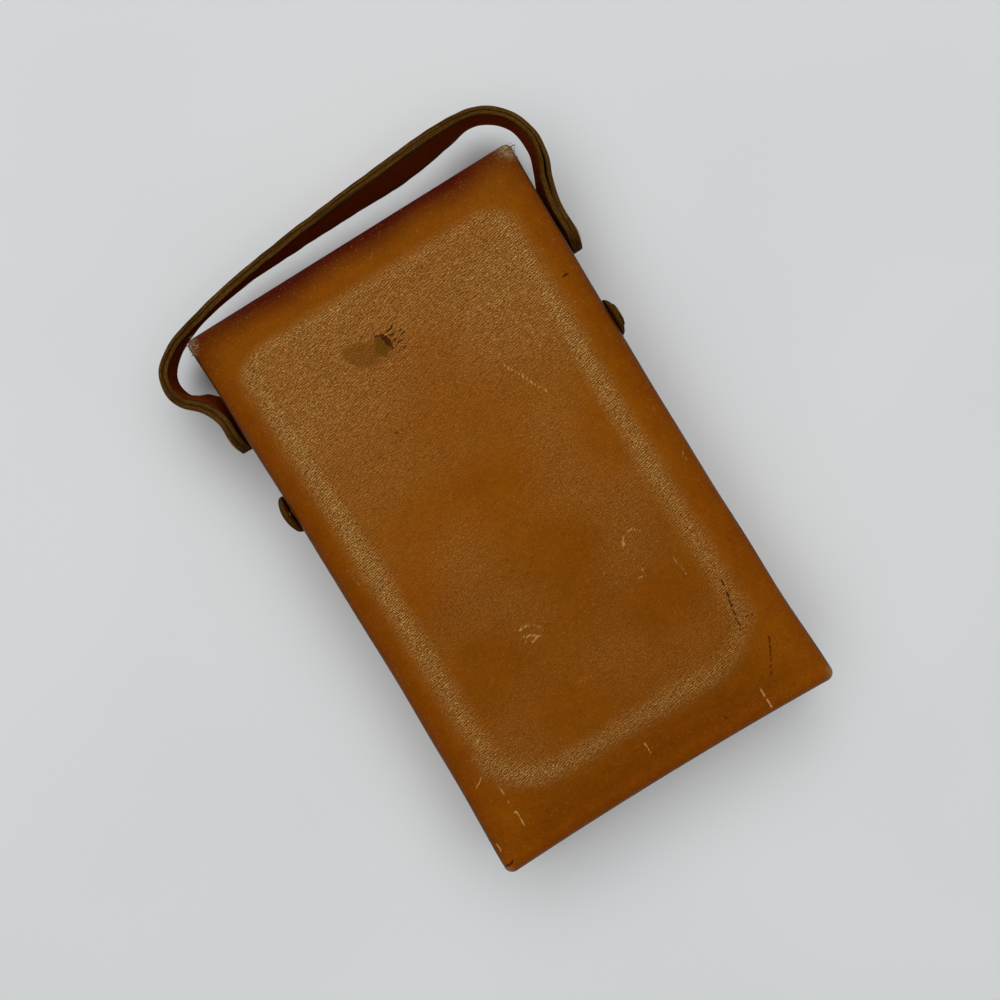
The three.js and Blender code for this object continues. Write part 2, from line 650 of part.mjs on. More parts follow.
for (const [name, end] of [["near", -1], ["far", 1]]) {
  add(`${name}_rest_pad`, restPad(end), FELT);
  add(`${name}_front_bracket`, bracket(end, 1), BRIGHT);
  add(`${name}_back_bracket`, bracket(end, -1), BRIGHT);
  add(`${name}_left_screw`, bracketScrew(-1, end), BRIGHT);
  add(`${name}_right_screw`, bracketScrew(1, end), BRIGHT);
}

add("rule_right_rail", ruleRail(), CELLULOID);
add("rule_left_rail", mirrored(ruleRail()), CELLULOID);
add("rule_slide", ruleSlide(), CELLULOID);
add("cursor_front_glass", cursorGlass(1), GLASS);
add("cursor_back_glass", cursorGlass(-1), GLASS);
add("cursor_right_runner", cursorRunner(1), BRIGHT);
add("cursor_left_runner", cursorRunner(-1), BRIGHT);
add("cursor_spring", cursorSpring(), BRIGHT);

export default leatherCase;
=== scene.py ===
import math

import bmesh
import bpy
import numpy as np
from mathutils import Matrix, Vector


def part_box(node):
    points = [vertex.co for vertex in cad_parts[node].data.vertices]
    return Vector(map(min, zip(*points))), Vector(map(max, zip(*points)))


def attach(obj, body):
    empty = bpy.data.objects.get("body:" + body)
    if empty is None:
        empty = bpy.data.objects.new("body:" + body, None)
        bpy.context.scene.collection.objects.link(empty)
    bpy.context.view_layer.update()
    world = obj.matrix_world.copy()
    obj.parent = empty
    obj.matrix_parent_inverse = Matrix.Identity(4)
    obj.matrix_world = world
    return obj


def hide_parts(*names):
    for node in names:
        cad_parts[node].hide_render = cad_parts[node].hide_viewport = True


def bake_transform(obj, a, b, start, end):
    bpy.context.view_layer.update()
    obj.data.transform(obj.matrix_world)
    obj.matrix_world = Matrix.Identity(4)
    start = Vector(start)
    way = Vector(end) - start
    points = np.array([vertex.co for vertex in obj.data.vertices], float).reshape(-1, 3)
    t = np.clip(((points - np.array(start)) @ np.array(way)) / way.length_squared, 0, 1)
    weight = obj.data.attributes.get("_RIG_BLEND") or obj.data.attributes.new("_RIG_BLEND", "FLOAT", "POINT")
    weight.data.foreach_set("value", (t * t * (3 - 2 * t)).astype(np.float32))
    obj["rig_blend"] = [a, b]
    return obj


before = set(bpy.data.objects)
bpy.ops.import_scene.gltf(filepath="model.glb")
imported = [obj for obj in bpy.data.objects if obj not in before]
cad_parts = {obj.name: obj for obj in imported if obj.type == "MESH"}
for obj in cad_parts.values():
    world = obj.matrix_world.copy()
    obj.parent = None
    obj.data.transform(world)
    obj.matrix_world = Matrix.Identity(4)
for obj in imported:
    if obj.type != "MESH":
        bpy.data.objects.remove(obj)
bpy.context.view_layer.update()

MM = 0.001
RNG = np.random.default_rng(11)


def node_box(node):
    """A CAD node's lowest and highest corner, in millimetres."""
    return [np.array(corner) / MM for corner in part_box(node)]


# ---- sizes, from the frame

COVER_LOW, COVER_HIGH = node_box("cover_shell")
END_LOW, END_HIGH = node_box("end_wall")
STRIP_LOW, STRIP_HIGH = node_box("hinge_strip")
GUSSET_LOW, GUSSET_HIGH = node_box("right_gusset")
PANEL_HIGH = node_box("back_panel")[1]

HALF_WIDTH = COVER_HIGH[0]
NEAR = COVER_LOW[1]
FAR = END_HIGH[1]
EDGE_Z = STRIP_HIGH[2]
LIP_BOTTOM = COVER_LOW[2]
WALL_BOTTOM = END_LOW[2]
FOLD_RADIUS = FAR - STRIP_LOW[1]
LEATHER = END_HIGH[1] - END_LOW[1]
TOP = COVER_HIGH[2] - 0.3  # the leather has sunk a little on the block under it
HINGE_Y = COVER_HIGH[1]

EDGE_RADIUS = 3.4
BORDER_Z = EDGE_Z - 0.4  # where the cover's edges start to round over
RIM_FALL = {"side": 0.75, "near": 0.4}  # how far the panel has dropped at its rim
RIM_WIDTH = 7.5
# the slope, in degrees, at which each side's border runs into its edge: near, right, far, left
BORDER_TILT = np.array([12.0, 24.0, 27.0, 25.0])
NEAR_CORNER = 2.8
FAR_CORNER = 2.6
# the raised panel's rim, a little off centre, with wide corners at the closed end
RIDGE = {"left": -46.0, "right": 44.3, "near": -69.0, "far": 79.0, "near_radius": 22.0, "far_radius": 9.0}


# ---- mesh helpers

def add_object(name, data):
    made = bpy.data.objects.new(name, data)
    bpy.context.scene.collection.objects.link(made)
    return made


def mesh_piece(name, points, faces, material, smooth=True, tone=None):
    """A mesh object from points in millimetres, which remembers where its points were at rest."""
    points = np.asarray(points, float)
    mesh = bpy.data.meshes.new(name)
    mesh.from_pydata([tuple(p * MM) for p in points], [], [tuple(f) for f in faces])
    bm = bmesh.new()
    bm.from_mesh(mesh)
    bmesh.ops.recalc_face_normals(bm, faces=bm.faces)
    bm.to_mesh(mesh)
    bm.free()
    remember_rest(mesh)
    if tone is not None:
        paint_tone(mesh, tone)
    mesh.polygons.foreach_set("use_smooth", [smooth] * len(mesh.polygons))
    mesh.materials.append(material)
    return add_object(name, mesh)


def place(piece, slot, body, *nodes):
    """Attaches a piece to the body that it rides on and hides the CAD nodes that it stands for; its slot is
    not used.
    """
    if nodes:
        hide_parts(*nodes)
    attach(piece, body)


def add_layer(piece, name, kind, values):
    """A value for each point, which the materials read."""
    layer = piece.data.attributes.new(name, kind, "POINT")
    layer.data.foreach_set("value" if kind == "FLOAT" else "vector", np.asarray(values, np.float32).ravel())


def paint_tone(mesh, tone):
    paint = mesh.color_attributes.new("tone", "FLOAT_COLOR", "POINT")
    paint.data.foreach_set("color", np.column_stack([tone, np.ones(len(tone))]).astype(np.float32).ravel())


def remember_rest(mesh):
    rest = mesh.attributes.new("rest", "FLOAT_VECTOR", "POINT")
    places = np.empty(len(mesh.vertices) * 3, np.float32)
    mesh.vertices.foreach_get("co", places)
    rest.data.foreach_set("vector", places / np.float32(MM))


def loft_faces(counts, closed=True):
    """Quads between rings of equal size; a ring of one point is a pole."""
    starts = np.concatenate([[0], np.cumsum(counts)]).astype(int)
    size = max(counts)
    faces = []
    for a in range(len(counts) - 1):
        first, second = starts[a], starts[a + 1]
        pole_a, pole_b = counts[a] == 1, counts[a + 1] == 1
        for i in range(size if closed else size - 1):
            j = (i + 1) % size
            if pole_a:
                faces.append((first, second + i, second + j))
            elif pole_b:
                faces.append((first + i, second, first + j))
            else:
                faces.append((first + i, second + i, second + j, first + j))
    return faces


def capped(faces, counts):
    """Adds one flat face at each end of a loft."""
    last = sum(counts) - counts[-1]
    return [*faces, tuple(range(counts[0])), tuple(reversed(range(last, last + counts[-1])))]


def refined(node, name, material, slot, body, width=0.4, segments=3, angle=35):
    """A CAD node's own shape with rounded edges."""
    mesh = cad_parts[node].data.copy()
    bm = bmesh.new()
    bm.from_mesh(mesh)
    bmesh.ops.remove_doubles(bm, verts=bm.verts, dist=1e-6)
    bmesh.ops.dissolve_limit(bm, angle_limit=math.radians(1.5), verts=bm.verts, edges=bm.edges)
    sharp = [e for e in bm.edges if len(e.link_faces) == 2 and e.calc_face_angle(0) > math.radians(angle)]
    bmesh.ops.bevel(bm, geom=sharp, offset=width * MM, segments=segments, profile=0.5, affect="EDGES",
                    clamp_overlap=True)
    bmesh.ops.triangulate(bm, faces=[f for f in bm.faces if len(f.verts) > 4])
    bm.to_mesh(mesh)
    bm.free()
    mesh.materials.clear()
    mesh.materials.append(material)
    for stale in [a.name for a in mesh.attributes if a.name.startswith("_") or a.name == "rest"]:
        mesh.attributes.remove(mesh.attributes[stale])
    remember_rest(mesh)
    mesh.polygons.foreach_set("use_smooth", [True] * len(mesh.polygons))
    piece = add_object(name, mesh)
    mesh.set_sharp_from_angle(angle=math.radians(40))
    place(piece, slot, body, node)
    return piece


def turned(name, profile, centre, material, axis="X", side=1, steps=48, hollow=False):
    """A turned piece from (distance along its axis, radius) pairs; a hollow one's profile is a loop."""
    rings, counts = [], []
    for along, radius in profile:
        if radius <= 0:
            rings.append(np.array([[along, 0, 0]]))
            counts.append(1)
            continue
        angle = np.linspace(0, 2 * math.pi, steps, endpoint=False)
        rings.append(np.column_stack([np.full(steps, along), radius * np.cos(angle), radius * np.sin(angle)]))
        counts.append(steps)
    points = np.concatenate(rings)
    if axis == "X":
        points[:, 0] *= side
    if axis == "Z":
        points = points[:, [1, 2, 0]]
    faces = loft_faces(counts)
    if hollow:
        last = len(points) - steps
        faces += [(last + i, i, (i + 1) % steps, last + (i + 1) % steps) for i in range(steps)]
    return mesh_piece(name, points + np.array(centre), faces, material)


def arc_profile(start, end, bulge, steps=6):
    """Points on a soft curve between two profile points, pushed out along the axis."""
    points = []
    for share in np.linspace(0, 1, steps):
        along = start[0] + (end[0] - start[0]) * share + bulge * math.sin(math.pi * share)
        points.append((along, start[1] + (end[1] - start[1]) * share))
    return points


def smooth(t):
    t = np.clip(t, 0, 1)
    return t * t * (3 - 2 * t)


def threads(name, paths, radius, material, sides=6):
    """Thin tubes along several paths, as one piece."""
    points, faces = [], []
    for path in paths:
        path = np.asarray(path, float)
        forward = np.gradient(path, axis=0)
        forward /= np.linalg.norm(forward, axis=1)[:, None]
        across = np.cross(forward, [0.31, 0.12, 0.94])
        across /= np.linalg.norm(across, axis=1)[:, None]
        other = np.cross(forward, across)
        first = len(points)
        for i, centre in enumerate(path):
            size = radius * (0.75 if i in (0, len(path) - 1) else 1)
            for k in range(sides):
                angle = 2 * math.pi * k / sides
                points.append(centre + size * (math.cos(angle) * across[i] + math.sin(angle) * other[i]))
        counts = [sides] * len(path)
        faces += [tuple(first + v for v in face) for face in capped(loft_faces(counts), counts)]
    return mesh_piece(name, points, faces, material)


def stitch_paths(route, normal, pitch=4.2, length=3.2, sink=0.35):
    """Short humped runs of thread along a route, each dipping into the leather at its ends."""
    route = np.asarray(route, float)
    steps = np.linalg.norm(np.diff(route, axis=0), axis=1)
    along = np.concatenate([[0], np.cumsum(steps)])
    paths = []
    for k in range(int(along[-1] / pitch)):
        at = (k + 0.5) * pitch
        run = np.linspace(at - length / 2, at + length / 2, 6)
        places = np.column_stack([np.interp(run, along, route[:, axis]) for axis in range(3)])
        hump = np.sin(np.linspace(0, math.pi, 6)) ** 0.6
        paths.append(places + np.asarray(normal, float) * (sink * 1.3 * hump - sink)[:, None])
    return paths


# ---- outlines of the case

CORNER_STEPS = 12
PLAIN = (18, 32)  # stretches along a short side and a long side
DENSE = (180, 320)  # the same on the cover, fine enough to paint its marks
REPEAT = DENSE[0] // PLAIN[0]


def rounded(corners, turn_steps, stretches):
    """A ring with an arc at each (x, y, radius, first angle), and a straight stretch after each arc."""
    arcs = []
    for x, y, radius, start in corners:
        angle = np.radians(start + np.linspace(0, 90, turn_steps + 1))
        arcs.append(np.column_stack([x + radius * np.cos(angle), y + radius * np.sin(angle)]))
    points = []
    for k, arc in enumerate(arcs):
        steps = stretches[(k + 1) % 2]
        share = np.arange(1, steps)[:, None] / steps
        points += [arc, arc[-1] + (arcs[(k + 1) % 4][0] - arc[-1]) * share]
    return np.concatenate(points)


def outline(left, right, near, far, near_radius, far_radius, sides=PLAIN):
    """A rounded rectangle, anticlockwise from its closed end's right corner, always in the same order."""
    corners = [
        (right - near_radius, near + near_radius, near_radius, -90),
        (right - far_radius, far - far_radius, far_radius, 0),
        (left + far_radius, far - far_radius, far_radius, 90),
        (left + near_radius, near + near_radius, near_radius, 180),
    ]
    return rounded(corners, CORNER_STEPS, sides)


def ring_size(sides):
    return 4 * CORNER_STEPS + 2 * sum(sides)


def side_weights(sides):
    """How much each point of a ring belongs to the near, right, far and left side."""
    rise = smooth(np.linspace(0, 1, CORNER_STEPS + 1))
    weights = np.zeros((ring_size(sides), 4))
    at = 0
    for corner in range(4):
        before, after = corner, (corner + 1) % 4
        end = at + CORNER_STEPS
        weights[at : end + 1, after] = rise
        weights[at : end + 1, before] = 1 - rise
        stretch = sides[(corner + 1) % 2]
        weights[end + 1 : end + stretch, after] = 1
        at = end + stretch
    return weights


COUNT = ring_size(PLAIN)


def lifted(plan, z):
    """An outline's points at one height, or each at its own."""
    return np.column_stack([plan, np.full(len(plan), z)])


def case_outline(inset, far=None, sides=PLAIN):
    """The case's outline moved in by one amount, or by another at the strap end."""
    return outline_within((inset, inset, inset if far is None else far, inset), sides)


def outline_within(insets, sides=PLAIN):
    """The case's outline moved in by its own amount on the near, right, far and left side."""
    near, right, far, left = insets
    return outline(
        -HALF_WIDTH + left, HALF_WIDTH - right, NEAR + near, FAR - far,
        max(NEAR_CORNER - near, 0.7), max(FAR_CORNER - far, 0.5), sides,
    )


def ridge_outline(inset):
    far_radius = max(RIDGE["far_radius"] - inset, 1)
    return outline(
        RIDGE["left"] + inset, RIDGE["right"] - inset, RIDGE["near"] + inset, RIDGE["far"] - inset,
        RIDGE["near_radius"] - inset, far_radius,
    )


def past_box(x, y, left, right, near, far, near_radius, far_radius):
    """How far a place lies outside a rounded rectangle, negative inside it."""
    middle = ((left + right) / 2, (near + far) / 2)
    radius = np.where(y > middle[1], far_radius, near_radius)
    qx = np.abs(x - middle[0]) - (right - left) / 2 + radius
    qy = np.abs(y - middle[1]) - (far - near) / 2 + radius
    return np.minimum(np.maximum(qx, qy), 0) + np.hypot(np.maximum(qx, 0), np.maximum(qy, 0)) - radius


def past_ridge(x, y):
    keys = ("left", "right", "near", "far", "near_radius", "far_radius")
    return past_box(x, y, *(RIDGE[key] for key in keys))


def edge_insets(share, tilt=BORDER_TILT):
    """How far in each side's edge has come, from 0 at its upright wall to 1 where the border starts."""
    radius = np.array([EDGE_RADIUS, EDGE_RADIUS, FOLD_RADIUS, EDGE_RADIUS])
    return radius * (1 - np.cos(np.radians(share * (90 - tilt))))


def face_height(x, y):
    """The cover's outer face: flat in the middle, rounding over a rim and sloping to its border."""
    near, right, far, left = edge_insets(1.0)
    to_border = -past_box(x, y, -HALF_WIDTH + left, HALF_WIDTH - right, NEAR + near, FAR - far, 1.2, 0.6)
    past = past_ridge(x, y)
    closed_end = smooth((-45 - y) / 25)
    fall = RIM_FALL["side"] + (RIM_FALL["near"] - RIM_FALL["side"]) * closed_end
    inside = fall * np.clip(1 + past / RIM_WIDTH, 0, 1) ** 2
    out = np.maximum(past, 0)
    share = out / np.maximum(out + np.maximum(to_border, 0), 1e-6)
    outside = (TOP - BORDER_Z - fall) * share * (0.6 + 0.4 * smooth(share / 0.5))
    return TOP - inside - outside


def wander(points, size, reach, seed):
    """A smooth wavering of the given size, from a few waves whose length is about reach."""
    random = np.random.default_rng(seed)
    total = np.zeros(len(points))
    for _ in range(9):
        wave = random.normal(size=3)
        wave *= 2 * math.pi / (reach * random.uniform(0.7, 1.6)) / np.linalg.norm(wave)
        total += np.sin(points @ wave + random.uniform(0, 2 * math.pi))
    return total * size / 3


def worn_shape(points):
    """The case's sides pull in at the middle and its closed end is a little hollow, as old leather goes."""
    made = points.copy()
    x, y = points[:, 0], points[:, 1]
    flare = 0.9975 + 0.019 * np.clip(np.abs(y) / 91, 0, 1) ** 2.6 + 0.006 * smooth((-y - 50) / 40)
    made[:, 0] = x * flare
    near = np.clip((-y - 60) / 31, 0, 1)
    made[:, 1] += near * (-0.1 - 1.1 * (np.abs(x) / HALF_WIDTH) ** 2)
    far = np.clip((y - 60) / 31, 0, 1)
    made[:, 1] += far * (0.5 * x / HALF_WIDTH + 0.8)
    return made


# ---- materials

def linear(*display):
    """A display colour, 0 to 255, as the linear colour that shaders take."""
    return tuple(((c / 255 + 0.055) / 1.055) ** 2.4 if c > 10 else c / 255 / 12.92 for c in display)


class Net:
    """The node tree of a material or a world, with short ways to add and join nodes."""

    def __init__(self, owner):
        owner.use_nodes = True
        self.owner = owner
        self.tree = owner.node_tree
        self.shader = self.tree.nodes.get("Principled BSDF")

    def node(self, kind, inputs=None, **settings):
        made = self.tree.nodes.new(f"ShaderNode{kind}")
        for key, value in settings.items():
            setattr(made, key, value)
        for key, value in (inputs or {}).items():
            self.feed(made.inputs[key], value)
        return made

    def feed(self, socket, value):
        if isinstance(value, bpy.types.NodeSocket):
            self.tree.links.new(value, socket)
        else:
            socket.default_value = value

    def stored(self, name, output="Fac"):
        """A value that was stored for each point."""
        return self.node("Attribute", attribute_name=name).outputs[output]

    def math(self, operation, a, b=0.0, c=0.0, clamp=False):
        made = self.node("Math", operation=operation, use_clamp=clamp)
        for socket, value in zip(made.inputs, (a, b, c)):
            self.feed(socket, value)
        return made.outputs[0]

    def times(self, a, b):
        return self.math("MULTIPLY", a, b)

    def vector(self, operation, a, b):
        made = self.node("VectorMath", operation=operation)
        self.feed(made.inputs[0], a)
        self.feed(made.inputs[1], b)
        return made.outputs["Value" if operation == "DOT_PRODUCT" else "Vector"]

    def stretched(self, where, scale):
        return self.vector("MULTIPLY", where, scale)

    def noise(self, where, scale, detail=3.0, roughness=0.55, distortion=0.0):
        made = self.node("TexNoise", {"Vector": where, "Scale": scale, "Detail": detail,
                                      "Roughness": roughness, "Distortion": distortion})
        return made.outputs["Fac"]

    def band(self, value, low, high, to_low=0.0, to_high=1.0):
        made = self.node("MapRange", {"Value": value, "From Min": low, "From Max": high, "To Min": to_low,
                                      "To Max": to_high}, interpolation_type="SMOOTHSTEP")
        return made.outputs["Result"]

    def mix(self, share, a, b, blend="MIX"):
        made = self.node("Mix", data_type="RGBA", blend_type=blend)
        self.feed(made.inputs[0], share)
        for socket, value in ((made.inputs[6], a), (made.inputs[7], b)):
            self.feed(socket, (*value, 1.0) if isinstance(value, tuple) and len(value) == 3 else value)
        return made.outputs[2]

    def darkened(self, share, color, by):
        return self.mix(share, color, by, "MULTIPLY")

    def bump(self, height, distance, strength=1.0, normal=None):
        made = self.node("Bump", {"Height": height, "Distance": distance * MM, "Strength": strength})
        if normal is not None:
            self.feed(made.inputs["Normal"], normal)
        return made.outputs["Normal"]

    def finish(self, color, roughness, normal=None, **uniform):
        self.feed(self.shader.inputs["Base Color"], (*color, 1.0) if isinstance(color, tuple) else color)
        self.feed(self.shader.inputs["Roughness"], roughness)
        if normal is not None:
            self.feed(self.shader.inputs["Normal"], normal)
        for key, value in uniform.items():
            self.shader.inputs[key.replace("_", " ").title().replace("Ior", "IOR")].default_value = value
        return self.owner


def new_material(name):
    """A new material's net, and where each point was at rest."""
    net = Net(bpy.data.materials.new(name))
    return net, net.stored("rest", "Vector")


# Marks on the cover, listed one by one, in plan millimetres: start x and y, end x and y, width, strength.
PALE_MARKS = [
    (19.7, 36.4, 27.0, 22.6, 0.4, 0.9),
    (22.0, -27.0, 24.0, -24.2, 0.45, 0.9), (24.0, -24.2, 27.2, -23.6, 0.45, 0.9),
    (27.2, -23.6, 29.3, -25.6, 0.4, 0.8), (22.0, -27.0, 23.2, -32.0, 0.35, 0.5),
    (23.0, -33.4, 23.8, -36.2, 0.5, 0.8), (21.0, -36.4, 25.0, -37.0, 0.5, 0.7),
    (-17.0, -31.2, -12.6, -31.9, 0.4, 0.9), (-15.4, -33.6, -12.2, -35.8, 0.45, 0.9),
    (-14.4, -36.4, -10.4, -35.7, 0.45, 0.8), (-16.8, -35.6, -14.6, -34.2, 0.35, 0.7),
    (40.0, -11.7, 40.8, -17.5, 0.35, 0.6), (51.8, -10.2, 51.4, -16.0, 0.4, 0.6),
    (32.8, -36.4, 33.9, -43.7, 0.35, 0.6),
    (-51.0, -64.9, -43.9, -59.8, 0.35, 0.8), (-44.2, -66.8, -43.8, -69.6, 1.0, 0.62),
    (-44.0, -71.0, -43.4, -80.2, 0.4, 0.8), (-42.6, -79.0, -42.0, -83.0, 0.35, 0.5),
    (-2.2, -78.0, -1.7, -81.8, 0.5, 0.8), (34.0, -82.0, 34.4, -88.9, 0.5, 0.8),
    (-53.4, -80.6, -52.8, -83.4, 0.9, 0.62), (-48.2, -56.3, -45.6, -56.9, 0.8, 0.55),
    (-13.2, -30.8, -9.8, -34.4, 1.6, 0.42), (-15.2, -31.4, -13.0, -31.2, 1.1, 0.45),
    (-49.6, 10.2, -48.7, 2.9, 0.5, 0.6), (-20.4, 85.2, -17.6, 81.2, 0.4, 0.5),
    (-9.0, 84.6, -6.4, 80.4, 0.45, 0.5), (3.0, 81.0, 5.6, 84.6, 0.4, 0.5),
    (45.4, 58.6, 53.2, 59.9, 0.35, 0.5), (18.2, -13.0, 22.0, -17.0, 0.3, 0.4),
    (-39.0, -13.0, -38.2, -16.4, 0.3, 0.4), (29.0, 4.0, 25.6, -3.0, 0.3, 0.35),
]
DARK_MARKS = [
    (-16.7, 36.6, -16.9, 35.5, 0.35, 1.0), (-16.9, 35.5, -16.0, 35.1, 0.35, 1.0),
    (-29.9, 87.0, -29.8, 86.4, 0.5, 0.9),
    (41.6, -48.0, 41.0, -51.6, 0.45, 0.7), (40.6, -53.0, 39.8, -57.2, 0.55, 0.9),
    (39.6, -58.6, 38.4, -64.4, 0.35, 0.9), (44.2, -70.7, 42.6, -73.8, 0.45, 0.9),
    (42.4, -74.0, 38.4, -81.8, 0.3, 0.8), (50.4, -37.6, 48.4, -45.8, 0.3, 0.45),
    (-53.6, -87.9, -51.6, -86.9, 0.45, 1.0), (48.2, 49.0, 49.8, 49.3, 0.35, 0.9),
    (42.0, -62.2, 43.4, -62.9, 0.4, 0.8), (21.4, -84.2, 21.8, -84.6, 0.45, 0.8),
    (-41.0, -86.6, -40.4, -87.0, 0.45, 0.6), (-27.2, 32.0, -26.9, 31.8, 0.5, 0.6),
    (11.0, 78.6, 11.6, 78.0, 0.35, 0.6),
    (-6.9, 61.9, -5.4, 61.4, 0.8, 0.75), (-5.4, 61.4, -4.7, 59.5, 1.1, 0.85),
    (-4.7, 59.5, -4.5, 57.7, 1.2, 0.85), (-4.5, 57.7, -4.9, 56.5, 0.8, 0.75),
    (-4.1, 61.3, -1.5, 61.8, 0.6, 0.9), (-3.4, 60.0, 0.4, 60.4, 0.5, 0.8),
    (-3.2, 58.4, 1.0, 58.9, 0.55, 0.85), (-3.4, 56.8, 0.6, 57.3, 0.5, 0.8),
    (-3.2, 55.2, 0.0, 55.5, 0.5, 0.75),
]
# Darker patches: (centre, half-lengths, lean in degrees, strength).
STAINS = [((-12.6, 59.4), (7.4, 4.2), -28, 0.55), ((-7.0, 58.5), (2.8, 3.7), -20, 1.0)]


def ripple(net, where, turn, scale=0.47):
    """Short broken ripples about 0.7 mm apart, 1 along a crest and 0 in a valley."""
    made = net.node("Mapping", {"Vector": where}, vector_type="TEXTURE")
    made.inputs["Rotation"].default_value = [math.radians(angle) for angle in turn]
    wave = net.node("TexWave", {"Vector": made.outputs[0], "Scale": scale, "Distortion": 7.5, "Detail": 2.0,
                                "Detail Scale": 2.1, "Detail Roughness": 0.6}, bands_direction="Y")
    return wave.outputs["Fac"]


def pebbles(net, where, turn):
    """Leather grain: long ripples cut across by shorter ones, 1 on a pebble and 0 in a valley."""
    across = ripple(net, where, (turn[0], turn[1], turn[2] - 70), 0.58)
    return net.math("MULTIPLY_ADD", across, 0.42, net.times(ripple(net, where, turn), 0.58))


def with_marks(net, where, color, rough, height):
    """The scuffs, scratches and stain painted on a piece, over its leather's colour and relief."""
    marks = net.node("SeparateXYZ", {"Vector": net.stored("marks", "Vector")})
    crumbs = net.times(net.math("SUBTRACT", net.noise(where, 2.6, 4.0, 0.8), 0.5), 1.4)
    pale = net.band(net.math("ADD", marks.outputs["X"], crumbs), 0.32, 0.62)
    pale = net.times(pale, net.math("MINIMUM", net.times(marks.outputs["X"], 4.0), 1.0))
    dark = net.band(net.math("ADD", marks.outputs["Y"], net.times(crumbs, 0.6)), 0.28, 0.55)
    dark = net.times(dark, net.math("MINIMUM", net.times(marks.outputs["Y"], 4.0), 1.0))
    stain = marks.outputs["Z"]
    color = net.mix(net.times(net.band(stain, 0.0, 0.55), 0.6), color, linear(112, 64, 6))
    color = net.mix(net.times(net.band(stain, 0.6, 1.0), 0.65), color, linear(92, 62, 12))
    color = net.mix(net.times(pale, 0.85), color, linear(204, 150, 84))
    color = net.mix(net.times(dark, 0.85), color, linear(52, 20, 4))
    rough = net.math("MULTIPLY_ADD", pale, 0.2, rough)
    height = net.math("MULTIPLY_ADD", net.math("MAXIMUM", pale, dark), -0.6, height)
    return color, rough, height


WARM_TINT = (1.0, 0.55, 0.14, 1.0)  # waxed leather's highlights take its own colour


def case_leather(name, marked=False):
    """Tan saddle leather: pebbled and waxed, with painted shade in its valleys and a painted sheen on its
    pebbles, darker along its burnished edges.
    """
    net, where = new_material(name)
    tone = net.stored("tone", "Color")
    # relief: how strongly the pebbles stand out, which also places the painted sheen and the painted shade in
    # the valleys
    relief = net.stored("grain") if marked else 0.2
    grain = pebbles(net, where, (0, 0, 12) if marked else (35, 25, 12))
    uneven = net.band(net.noise(where, 1.3, 3.0, 0.7), 0.35, 0.65, 0.3, 1.0)
    crest = net.times(net.band(grain, 0.37, 0.8), uneven)
    fine = net.noise(where, 4.2, 2.0, 0.6)
    broad = net.band(net.noise(where, 0.03, 4.0, 0.6), 0.3, 0.7)
    blotch = net.band(net.noise(where, 0.14, 5.0, 0.65), 0.3, 0.72)
    color = net.darkened(net.times(broad, 0.6), tone, (0.93, 0.8, 0.6))
    color = net.darkened(net.times(blotch, 0.7), color, (0.82, 0.84, 0.72))
    mottle = net.band(net.noise(where, 0.55, 4.0, 0.7), 0.36, 0.66)
    color = net.darkened(net.times(mottle, 0.5), color, (0.84, 0.76, 0.6))
    color = net.darkened(net.band(fine, 0.3, 0.7, 0.0, 0.3), color, (0.72, 0.66, 0.5))
    # painted shade: the pebbles' valleys are darkened, most where the pebbles stand out most
    valley = net.times(net.math("SUBTRACT", 1.0, grain), relief)
    color = net.darkened(net.times(valley, 0.95), color, (0.5, 0.4, 0.26))
    # painted sheen: the pebbles' crests are mixed towards a pale highlight colour
    painted_sheen = net.times(net.math("ADD", crest, 0.06), relief)
    color = net.mix(painted_sheen, color, linear(212, 158, 84))
    rubs = net.noise(net.stretched(where, (1.5, 0.25, 0.6)), 0.8, 5.0, 0.75)
    rubbed = net.times(net.band(rubs, 0.62, 0.74, 0.0, 0.22), net.band(relief, 0.0, 0.4, 0.3, 1.0))
    color = net.mix(rubbed, color, linear(196, 124, 44))
    pale_specks = net.band(net.noise(where, 1.9, 1.0, 0.5), 0.67, 0.72, 0.0, 0.35)
    dark_specks = net.band(net.noise(where, 1.4, 1.0, 0.5), 0.31, 0.27, 0.0, 0.5)
    color = net.mix(pale_specks, color, linear(186, 128, 56))
    color = net.mix(dark_specks, color, linear(82, 38, 6))
    rough = net.band(net.noise(where, 0.22, 4.0, 0.6), 0.3, 0.7, 0.34, 0.42)
    depth = net.math("MULTIPLY_ADD", relief, 0.85, 0.15)
    height = net.times(net.math("MULTIPLY_ADD", fine, 0.5, grain), depth)
    if marked:
        color, rough, height = with_marks(net, where, color, rough, height)
    wear = net.stored("wear")
    # fray: pale bare fibre where worn, which on the cover also paints the highlight line along its edges
    fray = net.times(wear, net.band(net.noise(where, 1.6, 5.0, 0.75), 0.38, 0.62))
    color = net.mix(fray, color, linear(176, 164, 124))
    rough = net.math("MULTIPLY_ADD", fray, 0.3, rough)
    normal = net.bump(height, 0.2, 0.8, net.bump(net.noise(where, 0.12, 3.0), 1.2, 0.2))
    net.shader.inputs["Specular Tint"].default_value = WARM_TINT
    return net.finish(color, rough, normal, specular_ior_level=0.09)


